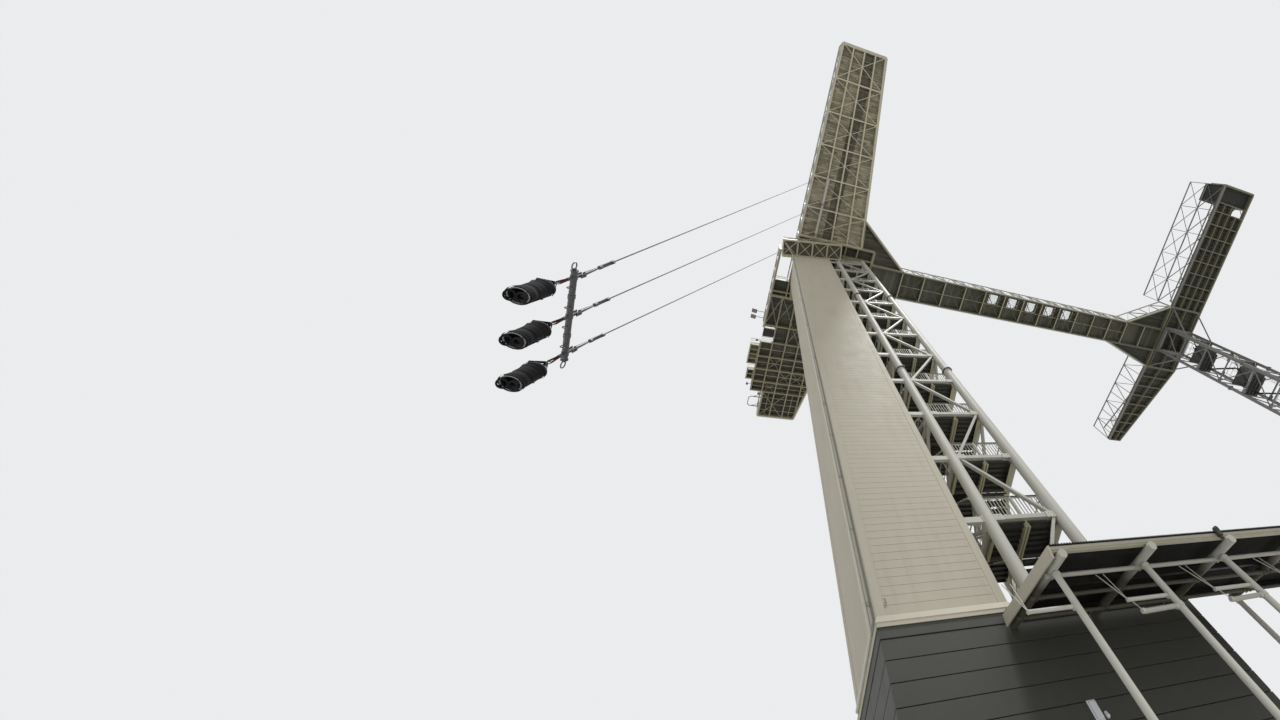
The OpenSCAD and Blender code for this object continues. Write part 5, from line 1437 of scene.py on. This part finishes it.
def makeSwing(look):
    # Each cable's thimble and socket at the top, turnbuckle, lower socket, and pin between two cheeks
    bm = bmesh.new()
    for side in (-1, 0, 1):
        top = Vector((0, side * look["topSpread"], -0.064))
        low = Vector((0, side * look["spread"], 0.12 - look["length"]))
        ahead = (low - top).normalized()
        addRod(bm, top + ahead * 0.02, top + ahead * 0.20, 0.020, 12, 0.012)
        addRod(bm, top + ahead * 0.24, top + ahead * 0.36, 0.014, 6)
        addRod(bm, low - ahead * 0.24, low - ahead * 0.04, 0.012, 12, 0.019)
        ends = [low - ahead * 0.52, low - ahead * 0.30]
        for dy in (-0.016, 0.016):
            addRod(bm, *(end + Vector((0, dy, 0)) for end in ends), 0.006, 8)
        for end in ends:
            addRod(bm, end - ahead * 0.02, end + ahead * 0.02, 0.022, 6)
        addRod(bm, low + Vector((-0.034, 0, 0)), low + Vector((0.034, 0, 0)), 0.011, 8)
        for dx in (-0.024, 0.024):
            addBar(bm, low + Vector((dx, 0, 0.03)), low + Vector((dx, 0, -0.05)), 0.008, 0.036, (0, 1, 0))
    makeSwingPiece("cableFittings", bm, "bar_steel")

    # Caps, nuts and end rings of the spreader bar, and its collars and eyes
    bm = bmesh.new()
    z = -look["length"]
    for side in (-1, 1):
        cap, nut, tip, ring = ((look["barHalf"] + out) * side for out in (0, 0.012, 0.03, 0.055))
        addRod(bm, (0, cap, z), (0, nut, z), 0.034, 20)
        addRod(bm, (0, nut, z), (0, tip, z), 0.016, 6)
        addRing(bm, (0, ring, z - 0.012), (1, 0, 0), 0.035, 0.006, 16, 8)
    for y in (-0.39, -0.2, 0, 0.2, 0.39):
        addRod(bm, (0, y - 0.02, z), (0, y + 0.02, z), 0.033, 20)
    for y in (-0.30, -0.10, 0.10, 0.30):
        addRing(bm, (0, y, z - 0.045), (0, 1, 0), 0.022, 0.005, 14, 8)
    makeSwingPiece("barFittings", bm, "bar_steel")


makeSwing(swingLook)

# Harnesses: each a pair of risers, a ring, straps and a slung body wrap with leg loops, all webbing
harnessLook = {
    "risers": 0.13,
    "bodyTop": 0.30,
    "bodyLow": 0.60,
    "bodyWide": 0.105,
    "bodyDeep": 0.075,
    "strap": 0.024,
    "strapThick": 0.004,
    "padThick": 0.010,
    "bandHeight": 0.026,
    # How far down the body wrap, and how wide there: three crowned panels with sewn channels between them
    "wrap": ((0.0, 0.86), (0.04, 0.95), (0.14, 1.0), (0.27, 0.97), (0.32, 0.88), (0.37, 0.94), (0.50, 0.86),
             (0.63, 0.90), (0.68, 0.83), (0.73, 0.93), (0.84, 0.97), (0.96, 0.92), (1.0, 0.84)),
    "bands": ((0.06, 1.03), (0.5, 0.90), (0.92, 1.03)),
}


def makeHarness(look):
    webbing, metal, padding, risers, piping = (bmesh.new() for piece in range(5))
    wide, deep = look["bodyWide"], look["bodyDeep"]
    for side in (-1, 0, 1):
        top = Vector((0, side * swingLook["spread"], -swingLook["length"] - 0.09))
        bodyTop, bodyLow = (top - Vector((0, 0, look[end])) for end in ("bodyTop", "bodyLow"))

        def onBody(part, grow, flat=1):
            # Places a circle of radius one round the body
            return (Matrix.Translation(bodyTop.lerp(bodyLow, part))
                    @ Matrix.Diagonal((wide * grow, deep * grow, flat, 1)))

        def addLoop(bm, part, grow):
            circle = bmesh.ops.create_circle(bm, segments=20, radius=1, cap_ends=False, matrix=onBody(part, grow))
            return edgesOf(circle["verts"])

        addRing(metal, top + Vector((0, 0, 0.012)), (0, 1, 0), 0.020, 0.0045, 14, 8)
        for dx in (-0.018, 0.018):
            addBar(risers, top + Vector((dx * 0.4, 0, 0)), top + Vector((dx, 0, -look["risers"])), 0.020, 0.004,
                   (1, 0, 0))
        ring = top + Vector((0, 0, -look["risers"] - 0.016))
        addRing(metal, ring, (0, 1, 0), 0.022, 0.005, 16, 8)
        for dx in (-1, 1):
            for dy in (-1, 1):
                addBar(webbing, ring + Vector((dx * 0.008, dy * 0.008, -0.018)),
                       bodyTop + Vector((dx * wide * 0.72, dy * deep * 0.72, 0)), look["strap"], look["strapThick"],
                       (dx, dy * 0.4, 0))
        # The body wrap: rings of an open sleeve, joined, that draws in at the waist
        rings = [addLoop(padding, part, grow) for part, grow in look["wrap"]]
        for upper, lower in zip(rings, rings[1:]):
            bmesh.ops.bridge_loops(padding, edges=upper + lower)
        for part, grow in (look["wrap"][0], look["wrap"][-1]):
            rim = bmesh.new()
            addRing(rim, Vector(), (0, 0, 1), 1, 0.06, 24, 6)
            bmesh.ops.transform(rim, matrix=onBody(part, grow, 0.09), verts=rim.verts)
            addCopy(piping, rim)
        for part, grow in look["bands"]:
            lower = part + look["bandHeight"] / (look["bodyLow"] - look["bodyTop"])
            bmesh.ops.bridge_loops(webbing, edges=addLoop(webbing, part, grow) + addLoop(webbing, lower, grow))
        # Leg loops with their straps, a buckle and a strap down the front, on either side
        for dx in (-1, 1):
            leg = bodyLow + Vector((dx * 0.045, 0, -0.030))
            addRing(webbing, leg, (dx * 0.25, 0, 1), 0.042, 0.008, 16, 6)
            for dy in (1, -1):
                addBar(webbing, bodyLow + Vector((dx * 0.06, dy * 0.045, 0.02)),
                       leg + Vector((dx * 0.03, dy * 0.03, 0)), 0.018, 0.004, (1, 0, 0))
            front = Vector((dx * 0.05, 0, 0))
            addBlock(metal, top + front + Vector((-0.014, 0.054, -0.42)), top + front + Vector((0.014, 0.070, -0.40)))
            front.y = deep * 0.80
            addBar(webbing, bodyTop + front, bodyLow + front, 0.022, 0.008, (0, 1, 0))
    piece = makeSwingPiece("harnessPads", padding)
    for face in piece.data.polygons:
        face.use_smooth = True
    piece.modifiers.new("padSkin", "SOLIDIFY").thickness = look["padThick"]
    soft = piece.modifiers.new("padSoft", "SUBSURF")
    soft.levels = soft.render_levels = 1
    makeSwingPiece("harnessMetal", metal, "bar_steel")
    makeSwingPiece("harnessRisers", risers, finish=strapRed)
    makeSwingPiece("harnessPiping", piping, finish=pipingGrey)
    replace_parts(makeSwingPiece("harnessStraps", webbing), "rider_harness")


makeHarness(harnessLook)
print("swing dressed")
